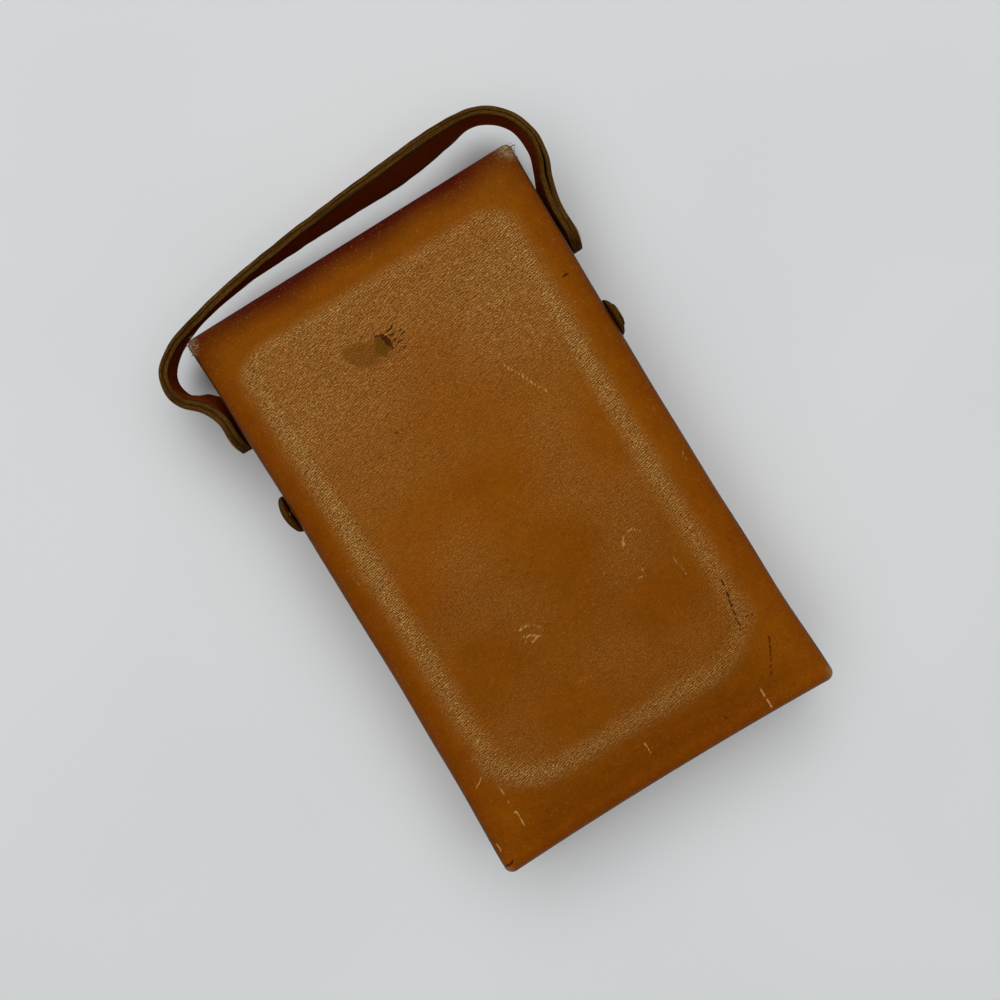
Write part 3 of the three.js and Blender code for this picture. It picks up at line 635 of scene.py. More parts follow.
def strap_leather(name, sheen=0.06):
    """The strap's and tabs' leather; its tone says face, back or raw edge."""
    net, where = new_material(name)
    tone = net.stored("tone", "Color")
    raw = net.stored("wear")
    run = net.stored("run", "Vector")
    streak = net.noise(net.stretched(where, (1.0, 1.0, 4.5)), 0.9, 5.0, 0.7)
    layers = net.noise(net.stretched(run, (0.05, 2.2, 0.2)), 1.0, 4.0, 0.75)
    fibre = net.noise(net.stretched(where, (1.6, 1.6, 1.6)), 1.8, 5.0, 0.8)
    color = net.darkened(net.band(streak, 0.3, 0.7, 0.0, 0.55), tone, (0.45, 0.4, 0.35))
    color = net.mix(net.times(raw, net.band(fibre, 0.46, 0.7, 0.0, 0.8)), color, linear(140, 104, 48))
    color = net.mix(net.times(raw, net.band(fibre, 0.5, 0.3, 0.0, 0.7)), color, linear(44, 24, 8))
    color = net.mix(net.times(raw, net.band(layers, 0.52, 0.4, 0.0, 0.8)), color, linear(40, 22, 6))
    grain = ripple(net, where, (35, 25, 12))
    height = net.math("MULTIPLY_ADD", grain, 0.5, net.times(fibre, 0.9))
    rough = net.math("MULTIPLY_ADD", raw, 0.15, net.band(streak, 0.3, 0.7, 0.55, 0.7))
    net.shader.inputs["Specular Tint"].default_value = WARM_TINT
    return net.finish(color, rough, net.bump(height, 0.16, 0.5), specular_ior_level=sheen)


def felt(name, color):
    """Short wool felt: matted fibres with a soft sheen."""
    net, where = new_material(name)
    mat = net.noise(where, 2.4, 6.0, 0.75, 1.5)
    tuft = net.noise(where, 0.5, 4.0, 0.6)
    deep = tuple(c * 0.62 for c in color)
    pale = tuple(min(c * 1.35, 1) for c in color)
    shade = net.mix(net.band(mat, 0.3, 0.72), deep, pale)
    shade = net.darkened(net.band(tuft, 0.35, 0.7, 0.0, 0.4), shade, (0.75, 0.72, 0.7))
    return net.finish(shade, 0.95, net.bump(mat, 0.25, 0.6), specular_ior_level=0.15, sheen_weight=0.35,
                      sheen_roughness=0.45)


def metal(name, color, rough_low, rough_high, tarnish, spread, relief):
    """Brushed metal with fine marks and dull patches of tarnish."""
    net, where = new_material(name)
    brushed = net.noise(net.stretched(where, (0.3, 3.0, 3.0)), 3.0, 4.0, 0.7)
    patch = net.band(net.noise(where, 0.7, 4.0, 0.65), 0.4, 0.68)
    shade = net.mix(net.band(brushed, 0.3, 0.7, 0.0, 0.35), color, tuple(c * 0.7 for c in color))
    shade = net.mix(net.times(patch, spread), shade, tarnish)
    rough = net.math("MULTIPLY_ADD", patch, 0.12 * spread, net.band(brushed, 0.3, 0.7, rough_low, rough_high))
    return net.finish(shade, rough, net.bump(brushed, relief, 0.4), metallic=1.0)


def celluloid(name):
    """Aged ivory plastic, a little yellower in patches, with fine rubbing marks."""
    net, where = new_material(name)
    patch = net.band(net.noise(where, 0.05, 4.0, 0.6), 0.3, 0.7)
    rub = net.noise(net.stretched(where, (3.0, 0.25, 3.0)), 1.4, 4.0, 0.7)
    shade = net.mix(patch, linear(233, 224, 196), linear(221, 206, 165))
    rough = net.band(rub, 0.3, 0.7, 0.26, 0.4)
    return net.finish(shade, rough, net.bump(rub, 0.012, 0.5), specular_ior_level=0.5)


def ink(name, color):
    net, where = new_material(name)
    worn = net.noise(where, 1.2, 3.0, 0.6)
    shade = net.mix(net.band(worn, 0.35, 0.75), color, tuple(c * 1.9 + 0.01 for c in color))
    return net.finish(shade, net.band(worn, 0.3, 0.7, 0.45, 0.6))


def clear(name):
    """Cursor glass with faint handling marks."""
    net, where = new_material(name)
    smear = net.band(net.noise(where, 0.4, 4.0, 0.6), 0.35, 0.75, 0.02, 0.09)
    return net.finish((0.93, 0.97, 0.97), smear, transmission_weight=1.0, ior=1.47)


def thread(name, color):
    """Twisted linen thread, waxed and a little dirty."""
    net, where = new_material(name)
    twist = net.noise(net.stretched(where, (3.0, 3.0, 3.0)), 2.0, 3.0, 0.6)
    shade = net.mix(net.band(twist, 0.35, 0.65), tuple(c * 0.6 for c in color), color)
    return net.finish(shade, net.band(twist, 0.3, 0.7, 0.5, 0.75), net.bump(twist, 0.06, 0.6))


COVER_LEATHER = case_leather("cover leather", marked=True)
WALL_LEATHER = case_leather("wall leather")
STRAP_LEATHER = strap_leather("strap leather")
LINING_LEATHER = strap_leather("strap lining leather", sheen=0.0)
FELT = felt("wine felt", linear(116, 38, 40))
BRASS = metal("aged brass", linear(168, 134, 74), 0.28, 0.42, linear(78, 56, 30), spread=0.75, relief=0.02)
NICKEL = metal("nickel", linear(190, 188, 182), 0.24, 0.32, linear(140, 134, 122), spread=0.3, relief=0.004)
IVORY = celluloid("ivory celluloid")
BLACK_INK = ink("black ink", (0.012, 0.011, 0.01))
RED_INK = ink("red ink", (0.3, 0.02, 0.015))
CLEAR = clear("cursor glass")
DARK_THREAD = thread("dark thread", linear(84, 58, 36))
PALE_FIBRE = thread("pale fibre", linear(176, 156, 118))


# ---- tones painted on the leather

TAN = np.array(linear(148, 80, 4))
BORDER = np.array(linear(130, 64, 2))
RED_BROWN = np.array(linear(78, 10, 2))
EDGE_BROWN = np.array(linear(66, 28, 8))
RIM_OLIVE = np.array(linear(62, 42, 8))
FLESH = np.array(linear(126, 84, 44))


def blend(a, b, share):
    return a + (b - a) * np.clip(share, 0, 1)[:, None]


# ---- the cover, its fold and the end wall

def cover_outer_rings():
    """Rings from the leather's bottom edge up the outside to the border of its face."""
    weights = side_weights(DENSE)
    radius = weights @ np.array([EDGE_RADIUS, EDGE_RADIUS, FOLD_RADIUS, EDGE_RADIUS])
    turn = 90 - weights @ BORDER_TILT
    wall_top = BORDER_Z - radius * np.sin(np.radians(turn))
    skirt = np.where(weights[:, 2] > 0.02, WALL_BOTTOM, LIP_BOTTOM)
    rings = []
    for share in (0.0, 0.03, 0.25, 0.5, 0.75):
        z = skirt + (wall_top - skirt) * share
        rings.append(lifted(case_outline(0.35 if share == 0.0 else 0.0, sides=DENSE), z))
    for share in np.linspace(0, 1, 11):
        z = wall_top + radius * np.sin(np.radians(share * turn))
        rings.append(lifted(outline_within(edge_insets(share), DENSE), z))
    return rings


def cover_face(border):
    """A net of points across the face, whose edge is the border ring, and the numbers of its rows."""
    across, along = (CORNER_STEPS + side for side in DENSE)
    start = len(border) - DENSE[0] - CORNER_STEPS // 2 + 1
    edge = np.roll(border, -start, axis=0)
    closed = np.concatenate([edge, edge[:1]])
    near = closed[: across + 1]
    right = closed[across : across + along + 1]
    far = closed[across + along : 2 * across + along + 1][::-1]
    left = closed[2 * across + along :][::-1]
    u = np.linspace(0, 1, across + 1)[None, :, None]
    v = np.linspace(0, 1, along + 1)[:, None, None]
    sides = (1 - v) * near[None] + v * far[None] + (1 - u) * left[:, None] + u * right[:, None]
    corners = (1 - u) * (1 - v) * near[0] + u * (1 - v) * near[-1] + (1 - u) * v * far[0] + u * v * far[-1]
    net = sides - corners
    numbers = np.full((along + 1, across + 1), -1)
    ring = (np.arange(len(border)) + start) % len(border)
    numbers[0, :] = ring[: across + 1]
    numbers[:, -1] = ring[across : across + along + 1]
    numbers[-1, :] = ring[across + along : 2 * across + along + 1][::-1]
    numbers[:, 0] = np.append(ring[2 * across + along :], ring[0])[::-1]
    return net, numbers


def rings_under_face(border, inset, shares, sizes, depth):
    """Rings below the cover's face, from a border in to the panel's rim and on to its middle."""
    ridge = ridge_outline(inset)
    middle = ridge.mean(axis=0)
    plans = [border + (ridge - border) * share for share in shares]
    plans += [middle + (ridge - middle) * size for size in sizes]
    rings = [lifted(plan, face_height(*plan.T) - depth) for plan in plans]
    return rings, np.array([*middle, TOP - depth])


def cover_inner_rings():
    """Rings up the inside, over the flesh side to its middle."""
    weights = side_weights(PLAIN)
    skirt = np.where(weights[:, 2] > 0.02, WALL_BOTTOM, LIP_BOTTOM)
    bend = weights @ np.array([1.2, 1.2, FOLD_RADIUS - LEATHER, 1.2])
    under = BORDER_Z - LEATHER
    rings = []
    for share in (0.0, 0.5, 0.9):
        z = skirt + (under - bend - skirt) * share
        rings.append(lifted(case_outline(LEATHER - (0.35 if share == 0.0 else 0.0)), z))
    for angle in np.radians(np.linspace(15, 90, 6)):
        drop = 1 - math.cos(angle)
        plan = case_outline(LEATHER + 1.2 * drop, far=LEATHER + (FOLD_RADIUS - LEATHER) * drop)
        rings.append(lifted(plan, under - bend * (1 - math.sin(angle))))
    shares, sizes = (0.2, 0.4, 0.6, 0.8, 1.0), (0.95, 0.85, 0.65, 0.4, 0.1)
    face, pole = rings_under_face(rings[-1][:, :2], 3, shares, sizes, LEATHER)
    return rings + face, pole


def cover_tone(points, outside):
    """Tan in the middle, darker to the borders, dark red-brown along the fold at the strap end."""
    x, y, z = points.T
    to_side = HALF_WIDTH - np.abs(x)
    to_near = y - NEAR
    to_far = FAR - y
    border = smooth(np.maximum(1 - to_side / 9, 1 - to_near / 16))
    border *= 1 - np.where(x > 0, 0.35, 0.15) * smooth((20 - y) / 50)
    tone = blend(np.tile(TAN, (len(points), 1)), BORDER, border)
    tone *= (1 - 0.13 * smooth((-2 - y) / 20) * smooth((to_side - 6) / 14))[:, None]
    tone *= (1 - 0.12 * smooth((y - 75) / 5) + 0.16 * smooth((-83 - y) / 4))[:, None]
    fold = smooth((z - EDGE_Z + 15) / 8)
    tone = blend(tone, BORDER * 0.6, smooth((6.0 - to_far) / 4) * (1 - fold))
    fold *= smooth((11.2 - to_far + 0.6 * np.sin(x * 0.21)) / 10.2)
    fold *= 1 - 0.25 * smooth((np.abs(x) - 34) / 14)
    tone = blend(tone, RED_BROWN, fold)
    tone = blend(tone, RED_BROWN, 0.6 * smooth((1.6 - to_side) / 1.6) * smooth((y + 20) / 60))
    rim = smooth(1.2 - np.minimum(to_side, to_near)) * smooth((z - EDGE_Z + 4.8) / 0.9)
    tone = blend(tone, RIM_OLIVE, 0.85 * rim * (to_far > 3))
    tone = blend(tone, EDGE_BROWN, smooth((LIP_BOTTOM + 0.9 - z) / 0.9) * (to_far > 4))
    return np.where(outside[:, None], tone, FLESH)


def cover_grain(points):
    """How strongly the pebbles stand out and how much painted sheen they carry: most near the strap end and
    along the rim, where a painted highlight runs, least on the borders.
    """
    x, y, _ = points.T
    past = past_ridge(x, y)
    closed_end, strap_end = smooth((-50 - y) / 15), smooth((y - 70) / 8)
    # rim: the band of painted highlight along the panel's rim
    rim = smooth(1 - np.abs(past + 2.5 - 5 * closed_end) / 6) * (0.45 + 0.55 * smooth((y + 70) / 110))
    # calm and upper: painted sheen over the part towards the strap end, less in an oval in its middle
    calm = smooth(1.2 - np.hypot(x / 24, (y - 36) / 26))
    upper = 0.8 * smooth((y - 8) / 40) * (1 - 0.75 * calm)
    inside = smooth((4.5 - past + 5 * closed_end - 4 * strap_end) / 8.5)
    # the painted highlight is a little stronger along the left rim
    strength = np.maximum(np.where(x < 0, 1.9, 1.7) * rim, upper)
    return inside * np.clip(0.16 + 0.84 * strength + 0.12 * wander(points, 1, 26, 41), 0.06, 1.55)


def cover_wear(points, outside):
    """Bare fibre at the corners, and a thin pale line along the edges that is a painted highlight."""
    x, y, z = points.T
    wear = np.zeros(len(points))
    for cx, cy, size, strength in ((-54.5, 88.0, 4.0, 0.7), (54.2, 89.2, 6.0, 0.9), (55.2, -89.8, 4.0, 0.9),
                                   (-54.8, -90.2, 3.4, 0.8)):
        away = np.hypot(x - cx, y - cy)
        wear = np.maximum(wear, strength * smooth(1 - away / size) * (z > 27))
    # painted highlight: a thin pale line along the side edges, stronger on the left
    rubbed = smooth(1 - np.abs(HALF_WIDTH - np.abs(x)) / 0.5) * smooth((64 - np.abs(y - 5)) / 30)
    wear = np.maximum(wear, np.where(x < 0, 0.7, 0.4) * rubbed * smooth((z - EDGE_Z + 4.8) / 0.9))
    return np.where(outside, wear, 0)


def paint_marks(piece, points, outside):
    """Pale scuffs, dark scratches and the stain, as one three-part attribute."""
    plan = points[:, :2].copy()
    plan[:, 0] += wander(points, 0.22, 1.6, 51) + wander(points, 0.15, 4, 52)
    plan[:, 1] += wander(points, 0.22, 1.6, 53) + wander(points, 0.15, 4, 54)
    marks = np.zeros((len(points), 3))
    for column, strokes in enumerate((PALE_MARKS, DARK_MARKS)):
        for x0, y0, x1, y1, width, strength in strokes:
            start, run = np.array([x0, y0]), np.array([x1 - x0, y1 - y0])
            share = np.clip((plan - start) @ run / (run @ run), 0, 1)
            away = np.linalg.norm(plan - start - share[:, None] * run, axis=1)
            marks[:, column] = np.maximum(marks[:, column], strength * smooth(1 - away / width))
    for centre, radius, lean, strength in STAINS:
        turn = math.radians(lean)
        dx, dy = (plan - np.array(centre)).T
        along = (dx * math.cos(turn) + dy * math.sin(turn)) / radius[0]
        over = (dy * math.cos(turn) - dx * math.sin(turn)) / radius[1]
        marks[:, 2] = np.maximum(marks[:, 2], strength * smooth((1 - np.hypot(along, over)) / 0.35))
    marks[~outside] = 0
    add_layer(piece, "marks", "FLOAT_VECTOR", marks)


def make_cover():
    outer = cover_outer_rings()
    size = len(outer[0])
    net, numbers = cover_face(outer[-1][:, :2])
    inner, pole = cover_inner_rings()
    height = face_height(net[..., 0], net[..., 1])
    for _ in range(20):
        height[1:-1, 1:-1] = (height[:-2, 1:-1] + height[2:, 1:-1] + height[1:-1, :-2] + height[1:-1, 2:]) / 4
    face = lifted(net[1:-1, 1:-1].reshape(-1, 2), height[1:-1, 1:-1].ravel())
    points = np.concatenate([*outer, face, *inner, [pole]])
    last_ring = (len(outer) - 1) * size
    numbers[numbers >= 0] += last_ring
    numbers[1:-1, 1:-1] = len(outer) * size + np.arange(len(face)).reshape(net.shape[0] - 2, -1)
    faces = loft_faces([size] * len(outer))
    squares = np.stack([numbers[:-1, :-1], numbers[:-1, 1:], numbers[1:, 1:], numbers[1:, :-1]], axis=-1)
    faces += [tuple(square) for square in squares.reshape(-1, 4).tolist()]
    first_inner = len(outer) * size + len(face)
    counts = [COUNT] * len(inner) + [1]
    faces += [tuple(first_inner + v for v in quad) for quad in loft_faces(counts)]
    faces += edge_faces(size, first_inner)
    outside = np.arange(len(points)) < first_inner
    tone = cover_tone(points, outside)
    wear = cover_wear(points, outside)
    grain = cover_grain(points)
    rest = points.copy()
    raised = np.clip((points[:, 2] - EDGE_Z + LEATHER) / 3, 0, 1)
    points = worn_shape(points)
    x, y, _ = rest.T
    slump = -0.7 * smooth((y - 30) / 50) - 0.3 * smooth(1 - np.hypot(x / 46, y / 75))
    points[:, 2] += raised * (slump + wander(rest, 0.1, 38, 3) + wander(rest, 0.03, 9, 4))
    points[:, 0] += np.sign(x) * wander(rest, 0.1, 30, 5) * (1 - raised)
    piece = mesh_piece("cover_leather", points, faces, COVER_LEATHER, tone=tone)
    # the wear layer holds the corners' bare fibre and the painted highlight along the edges
    add_layer(piece, "wear", "FLOAT", wear)
    paint_marks(piece, rest, outside)
    # the grain layer also says where the painted sheen goes
    add_layer(piece, "grain", "FLOAT", grain)
    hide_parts("cover_shell", "hinge_strip", "end_wall")
    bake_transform(piece, "case_body", "cover", start=(0, (FAR - 2.6) * MM, 0.03), end=(0, HINGE_Y * MM, 0.03))


def edge_faces(size, first_inner):
    """The leather's cut edge: each stretch of the plain inner ring meets several points of the outer."""
    steps = []
    for k in range(4):
        steps += [1] * CORNER_STEPS + [REPEAT] * PLAIN[(k + 1) % 2]
    faces, dense = [], 0
    for i, step in enumerate(steps):
        outer = [(dense + k) % size for k in range(step + 1)]
        faces.append((first_inner + (i + 1) % COUNT, first_inner + i, *outer))
        dense += step
    return faces


# ---- side walls and back

def make_walls():
    """One band of leather round three sides, open at the strap end, where the end wall closes it."""
    left_side = 3 * CORNER_STEPS + sum(PLAIN)
    keep = np.concatenate([np.arange(left_side + 1, COUNT), np.arange(0, CORNER_STEPS + PLAIN[1])])
    low, high = WALL_BOTTOM, LIP_BOTTOM - 0.4
    outer = HALF_WIDTH - GUSSET_HIGH[0]
    inner = outer + LEATHER
    soft = 0.3  # how far the cut edges are rounded
    levels = np.linspace(low + soft, high - soft, 7)
    rings = []

    def add_ring(inset, z, bulge=0.0):
        plan = case_outline(inset)[keep]
        x, y = plan.T
        plan[:, 0] += bulge * np.sign(x) * (np.abs(x) > 50) * smooth((80 - np.abs(y)) / 20)
        rings.append(lifted(plan, z))

    add_ring(outer + soft, low)
    for z, angle in zip(levels, np.linspace(0, math.pi, len(levels))):
        add_ring(outer, z, 0.5 * math.sin(angle))
    add_ring(outer + soft, high)
    outside_rings = len(rings)
    add_ring(inner - soft, high)
    for z in levels[::-2]:
        add_ring(inner, z)
    add_ring(inner - soft, low)
    points = np.stack(rings, axis=1).reshape(-1, 3)
    counts = [len(rings)] * len(keep)
    outside = np.tile(np.arange(len(rings)) < outside_rings, len(keep))
    z = points[:, 2]
    burnish = np.maximum(smooth((low + 2.2 - z) / 2.2), 0.8 * smooth((z - high + 1.5) / 1.5))
    tone = blend(np.tile(BORDER, (len(points), 1)), EDGE_BROWN, burnish)
    tone = np.where(outside[:, None], tone, FLESH)
    faces = capped(loft_faces(counts), counts)
    piece = mesh_piece("wall_leather", worn_shape(points), faces, WALL_LEATHER, tone=tone)
    add_layer(piece, "wear", "FLOAT", np.where(outside, 0.25 * smooth((low + 1.0 - z) / 1.0), 0))
    place(piece, "case_leather", "case_body", "left_gusset", "right_gusset", "near_gusset")


def make_back():
    """The back panel: thick leather with rounded edges, flat where it rests."""
    inset = HALF_WIDTH - PANEL_HIGH[0]
    top = PANEL_HIGH[2]
    edge = [(1.1, 0.0), (0.45, 0.12), (0.1, 0.5), (0.0, 1.0), (0.0, top - 0.8), (0.15, top - 0.3), (0.7, top)]
    rings = [lifted(case_outline(inset + gap), z) for gap, z in edge]
    centre = np.array([0.0, (NEAR + FAR) / 2])
    sizes = (0.1, 0.3, 0.55, 0.8, 0.95)
    foot = [lifted(centre + (rings[0][:, :2] - centre) * size, 0.0) for size in sizes]
    roof = [lifted(centre + (rings[-1][:, :2] - centre) * size, top) for size in reversed(sizes)]
    ordered = [[[*centre, 0.0]], *foot, *rings, *roof, [[*centre, top]]]
    points = np.concatenate(ordered)
    counts = [len(ring) for ring in ordered]
    to_edge = np.minimum(HALF_WIDTH - np.abs(points[:, 0]), FAR - np.abs(points[:, 1]))
    tone = blend(np.tile(TAN, (len(points), 1)), BORDER, smooth(1 - to_edge / 14))
    tone = blend(tone, EDGE_BROWN, smooth(1 - to_edge / 1.6))
    piece = mesh_piece("back_leather", worn_shape(points), loft_faces(counts), WALL_LEATHER, tone=tone)
    add_layer(piece, "wear", "FLOAT", 0.6 * smooth(1 - to_edge / 2.2) * smooth(wander(points, 1.0, 14, 8)))
    place(piece, "case_leather", "case_body", "back_panel")


def make_stitching():
    """Saddle stitches round the foot of the walls and down the corners of the end wall."""
    low = WALL_BOTTOM + 2.4
    side = GUSSET_HIGH[0]
    plan = worn_shape(lifted(case_outline(HALF_WIDTH - side), low))
    paths = []
    for sign in (1, -1):
        rows = plan[sign * plan[:, 0] > side - 1.5]
        rows = rows[np.argsort(rows[:, 1])]
        for start, end in ((-84, 24.5), (39.5, 86)):  # the gap is where the tab is riveted on
            part = rows[(rows[:, 1] > start) & (rows[:, 1] < end)]
            paths += stitch_paths(part + (0.3 * sign, 0, 0), (sign, 0, 0))
    ends = plan[(plan[:, 1] < NEAR + 2.4) & (np.abs(plan[:, 0]) < 49)]
    ends = ends[np.argsort(ends[:, 0])]
    paths += stitch_paths(ends - (0, 0.05, 0), (0, -1, 0))
    for x in (-49.5, 49.5):
        column = [(x, FAR + 0.45 * np.sign(x) + 0.15, z) for z in np.linspace(4.5, 26, 12)]
        paths += stitch_paths(column, (0, 1, 0))
    row = [(x, FAR + 0.5 * x / HALF_WIDTH + 0.1, low) for x in np.linspace(-45, 45, 30)]
    paths += stitch_paths(row, (0, 1, 0))
    place(threads("wall_stitching", paths, 0.36, DARK_THREAD), "case_leather", "case_body")


def make_frayed_ends():
    """Loose fibres and cut thread ends at the fold's two corners."""
    for name, side in (("left", -1), ("right", 1)):
        paths = []
        for _ in range(26):
            x, y, z = (RNG.uniform(*span) for span in ((51.4, 55.6), (86.6, 91.0), (29.5, 33.2)))
            foot = np.array([side * min(x, 55.4), y, z])
            aim = np.array([side * RNG.uniform(0.1, 1.0), RNG.uniform(-0.5, 0.7), RNG.uniform(0.0, 0.7)])
            length = RNG.uniform(0.7, 2.0)
            curl = RNG.normal(size=3) * 0.3
            steps = np.linspace(0, 1, 5)[:, None]
            paths.append(foot + aim * length * steps + curl * steps**2)
        fibres = threads(f"{name}_corner_fibres", paths, 0.07, PALE_FIBRE, sides=4)
        place(fibres, "case_leather", "case_body")
        ends = []  # the last of the three is not made, but its draws keep the later ones in order
        for y, z, out in ((89.4, 30.5, 2.2), (86.2, 28.4, 1.6), (41.6, 30.2, 1.4)):
            foot = np.array([side * 54.9, y, z])
            steps = np.linspace(0, 1, 6)[:, None]
            aim = np.array([side * out, RNG.uniform(-0.9, 0.9), RNG.uniform(-0.2, 0.8)])
            ends.append(foot + aim * steps + np.array([0, 0.5, 0.3]) * np.sin(steps * 3))
        loose = threads(f"{name}_thread_ends", ends[:2], 0.16, DARK_THREAD)
        place(loose, "case_leather", "case_body")


# ---- strap and tabs

STRAP_ROUTE = [
    (-58.9, 56), (-58.9, 61), (-58.9, 65.6), (-61.8, 72), (-66.3, 77), (-67.6, 82), (-65.6, 87.8),
    (-60.8, 91.6), (-53.5, 94.4), (-34, 98.8), (-15, 101.5), (6, 103.7), (26, 105.5), (42, 106.3),
    (53, 104.8), (60.0, 99.4), (63.2, 91.8), (62.9, 84.4), (60.3, 77), (58.9, 69), (58.9, 61), (58.9, 55.5),
]
STRAP_LEAN = [
    0, 0, 0, -3.2, -3.4, 0.0, 2.8, 3.8, 4.8, 4.2, 2.4, 0.6, -1.0, 0.4, 3.4, 3.2, 1.0, -0.6, -0.4, 0, 0, 0,
]


def smooth_route(points, samples):
    """A centripetal Catmull-Rom curve through the points, sampled evenly along its length."""
    points = np.asarray(points, float)
    ends = [2 * points[0] - points[1], *points, 2 * points[-1] - points[-2]]
    dense = []
    for p0, p1, p2, p3 in zip(ends, ends[1:], ends[2:], ends[3:]):
        d01, d12, d23 = (max(np.linalg.norm(b - a), 1e-4) ** 0.5 for a, b in ((p0, p1), (p1, p2), (p2, p3)))
        m1 = ((p1 - p0) / d01 - (p2 - p0) / (d01 + d12) + (p2 - p1) / d12) * d12
        m2 = ((p2 - p1) / d12 - (p3 - p1) / (d12 + d23) + (p3 - p2) / d23) * d12
        t = np.linspace(0, 1, 24, endpoint=False)[:, None]
        cubic = 2 * p1 - 2 * p2 + m1 + m2
        square = -3 * p1 + 3 * p2 - 2 * m1 - m2
        dense.append(cubic * t**3 + square * t**2 + m1 * t + p1)
    dense = np.concatenate([*dense, points[-1:]])
    along = np.concatenate([[0], np.cumsum(np.linalg.norm(np.diff(dense, axis=0), axis=1))])
    want = samples * along[-1]
    return np.column_stack([np.interp(want, along, dense[:, k]) for k in range(dense.shape[1])]), along[-1]


def band_ring(reach, half, edge):
    """The cut through a strap: a thin rounded rectangle of (across, up) pairs."""
    across, up = half - edge, reach - edge
    signs = ((1, 1), (-1, 1), (-1, -1), (1, -1))
    corners = [(sx * across, sy * up, edge, 90 * k) for k, (sx, sy) in enumerate(signs)]
    return rounded(corners, 3, (6, 6))


RAW_OLIVE = np.array(linear(86, 54, 18))
STRAP_FACE = np.array(linear(140, 84, 30))
STRAP_BACK = np.array(linear(138, 58, 22))


def make_ply(node, material, slot, offset, face, back, split):
    """One ply of the strap, following the route, with half-round ends and slightly uneven edges."""
    low, high = node_box(node)
    half_width = (high[2] - low[2]) / 2
    centre_z = (high[2] + low[2]) / 2
    route3 = [(x, y, lean) for (x, y), lean in zip(STRAP_ROUTE, STRAP_LEAN)]
    ends = np.array([0, 0.1, 0.3, 0.7, 1.2, 1.9, 2.8, 4, 5.4, 7, 8.6]) / 330
    samples = np.concatenate([ends, np.linspace(0.032, 0.968, 200), 1 - ends[::-1]])
    places, length = smooth_route(route3, samples)
    plan = places[:, :2]
    forward = np.gradient(plan, axis=0)
    forward /= np.linalg.norm(forward, axis=1)[:, None]
    out = np.column_stack([-forward[:, 1], forward[:, 0]])
    points, raw, faces_out, runs = [], [], [], []
    for i, share in enumerate(samples):
        along = min(share, 1 - share) * length
        reach = half_width
        if along < half_width:
            reach = math.sqrt(max(half_width**2 - (half_width - along) ** 2, 1.2))
        foot = smooth((34 - along) / 22)
        half_thick = 0.64 + 0.14 * foot
        ring = band_ring(reach, half_thick, 0.3)
        spread = math.copysign(half_thick + 0.05, offset) + 0.3 - 0.55 * foot
        spread += split * math.exp(-(((share - 0.885) / 0.03) ** 2))
        lean = places[i, 2] * (0.5 - ring[:, 1] / (2 * half_width))
        shift = ring[:, 0] + spread + lean
        points.append(lifted(plan[i] + out[i] * shift[:, None], centre_z + ring[:, 1]))
        raw.append(smooth((np.abs(ring[:, 1]) - reach + 0.75) / 0.5))
        faces_out.append(ring[:, 0] > 0)
        runs.append(np.column_stack([np.full(len(ring), share * length), ring[:, 0] + spread, ring[:, 1]]))
    size = len(points[0])
    points, raw, faces_out, runs = (np.concatenate(part) for part in (points, raw, faces_out, runs))
    waver = ((0.06, 6, 21), (0.06, 6, 22), (0.12, 9, 23))
    points += np.column_stack([wander(points, *wave) for wave in waver])
    tone = blend(np.where(faces_out[:, None], face, back), RAW_OLIVE, raw)
    counts = [size] * len(samples)
    faces = capped(loft_faces(counts), counts)
    piece = mesh_piece(f"{node}_ply", points, faces, material, tone=tone)
    add_layer(piece, "wear", "FLOAT", raw * 0.9)
    add_layer(piece, "run", "FLOAT_VECTOR", runs)
    place(piece, slot, "handle", node)


def make_strap():
    apart = (node_box("strap_outer")[1][0] - node_box("strap_inner")[1][0]) / 2
    # painted shade: where the two plies face each other they are painted at half the back's colour
    between = STRAP_BACK * 0.5
    make_ply("strap_outer", STRAP_LEATHER, "strap_leather", apart, STRAP_FACE, between, 0.45)
    make_ply("strap_inner", LINING_LEATHER, "strap_lining_leather", -apart, between, STRAP_BACK, -0.1)


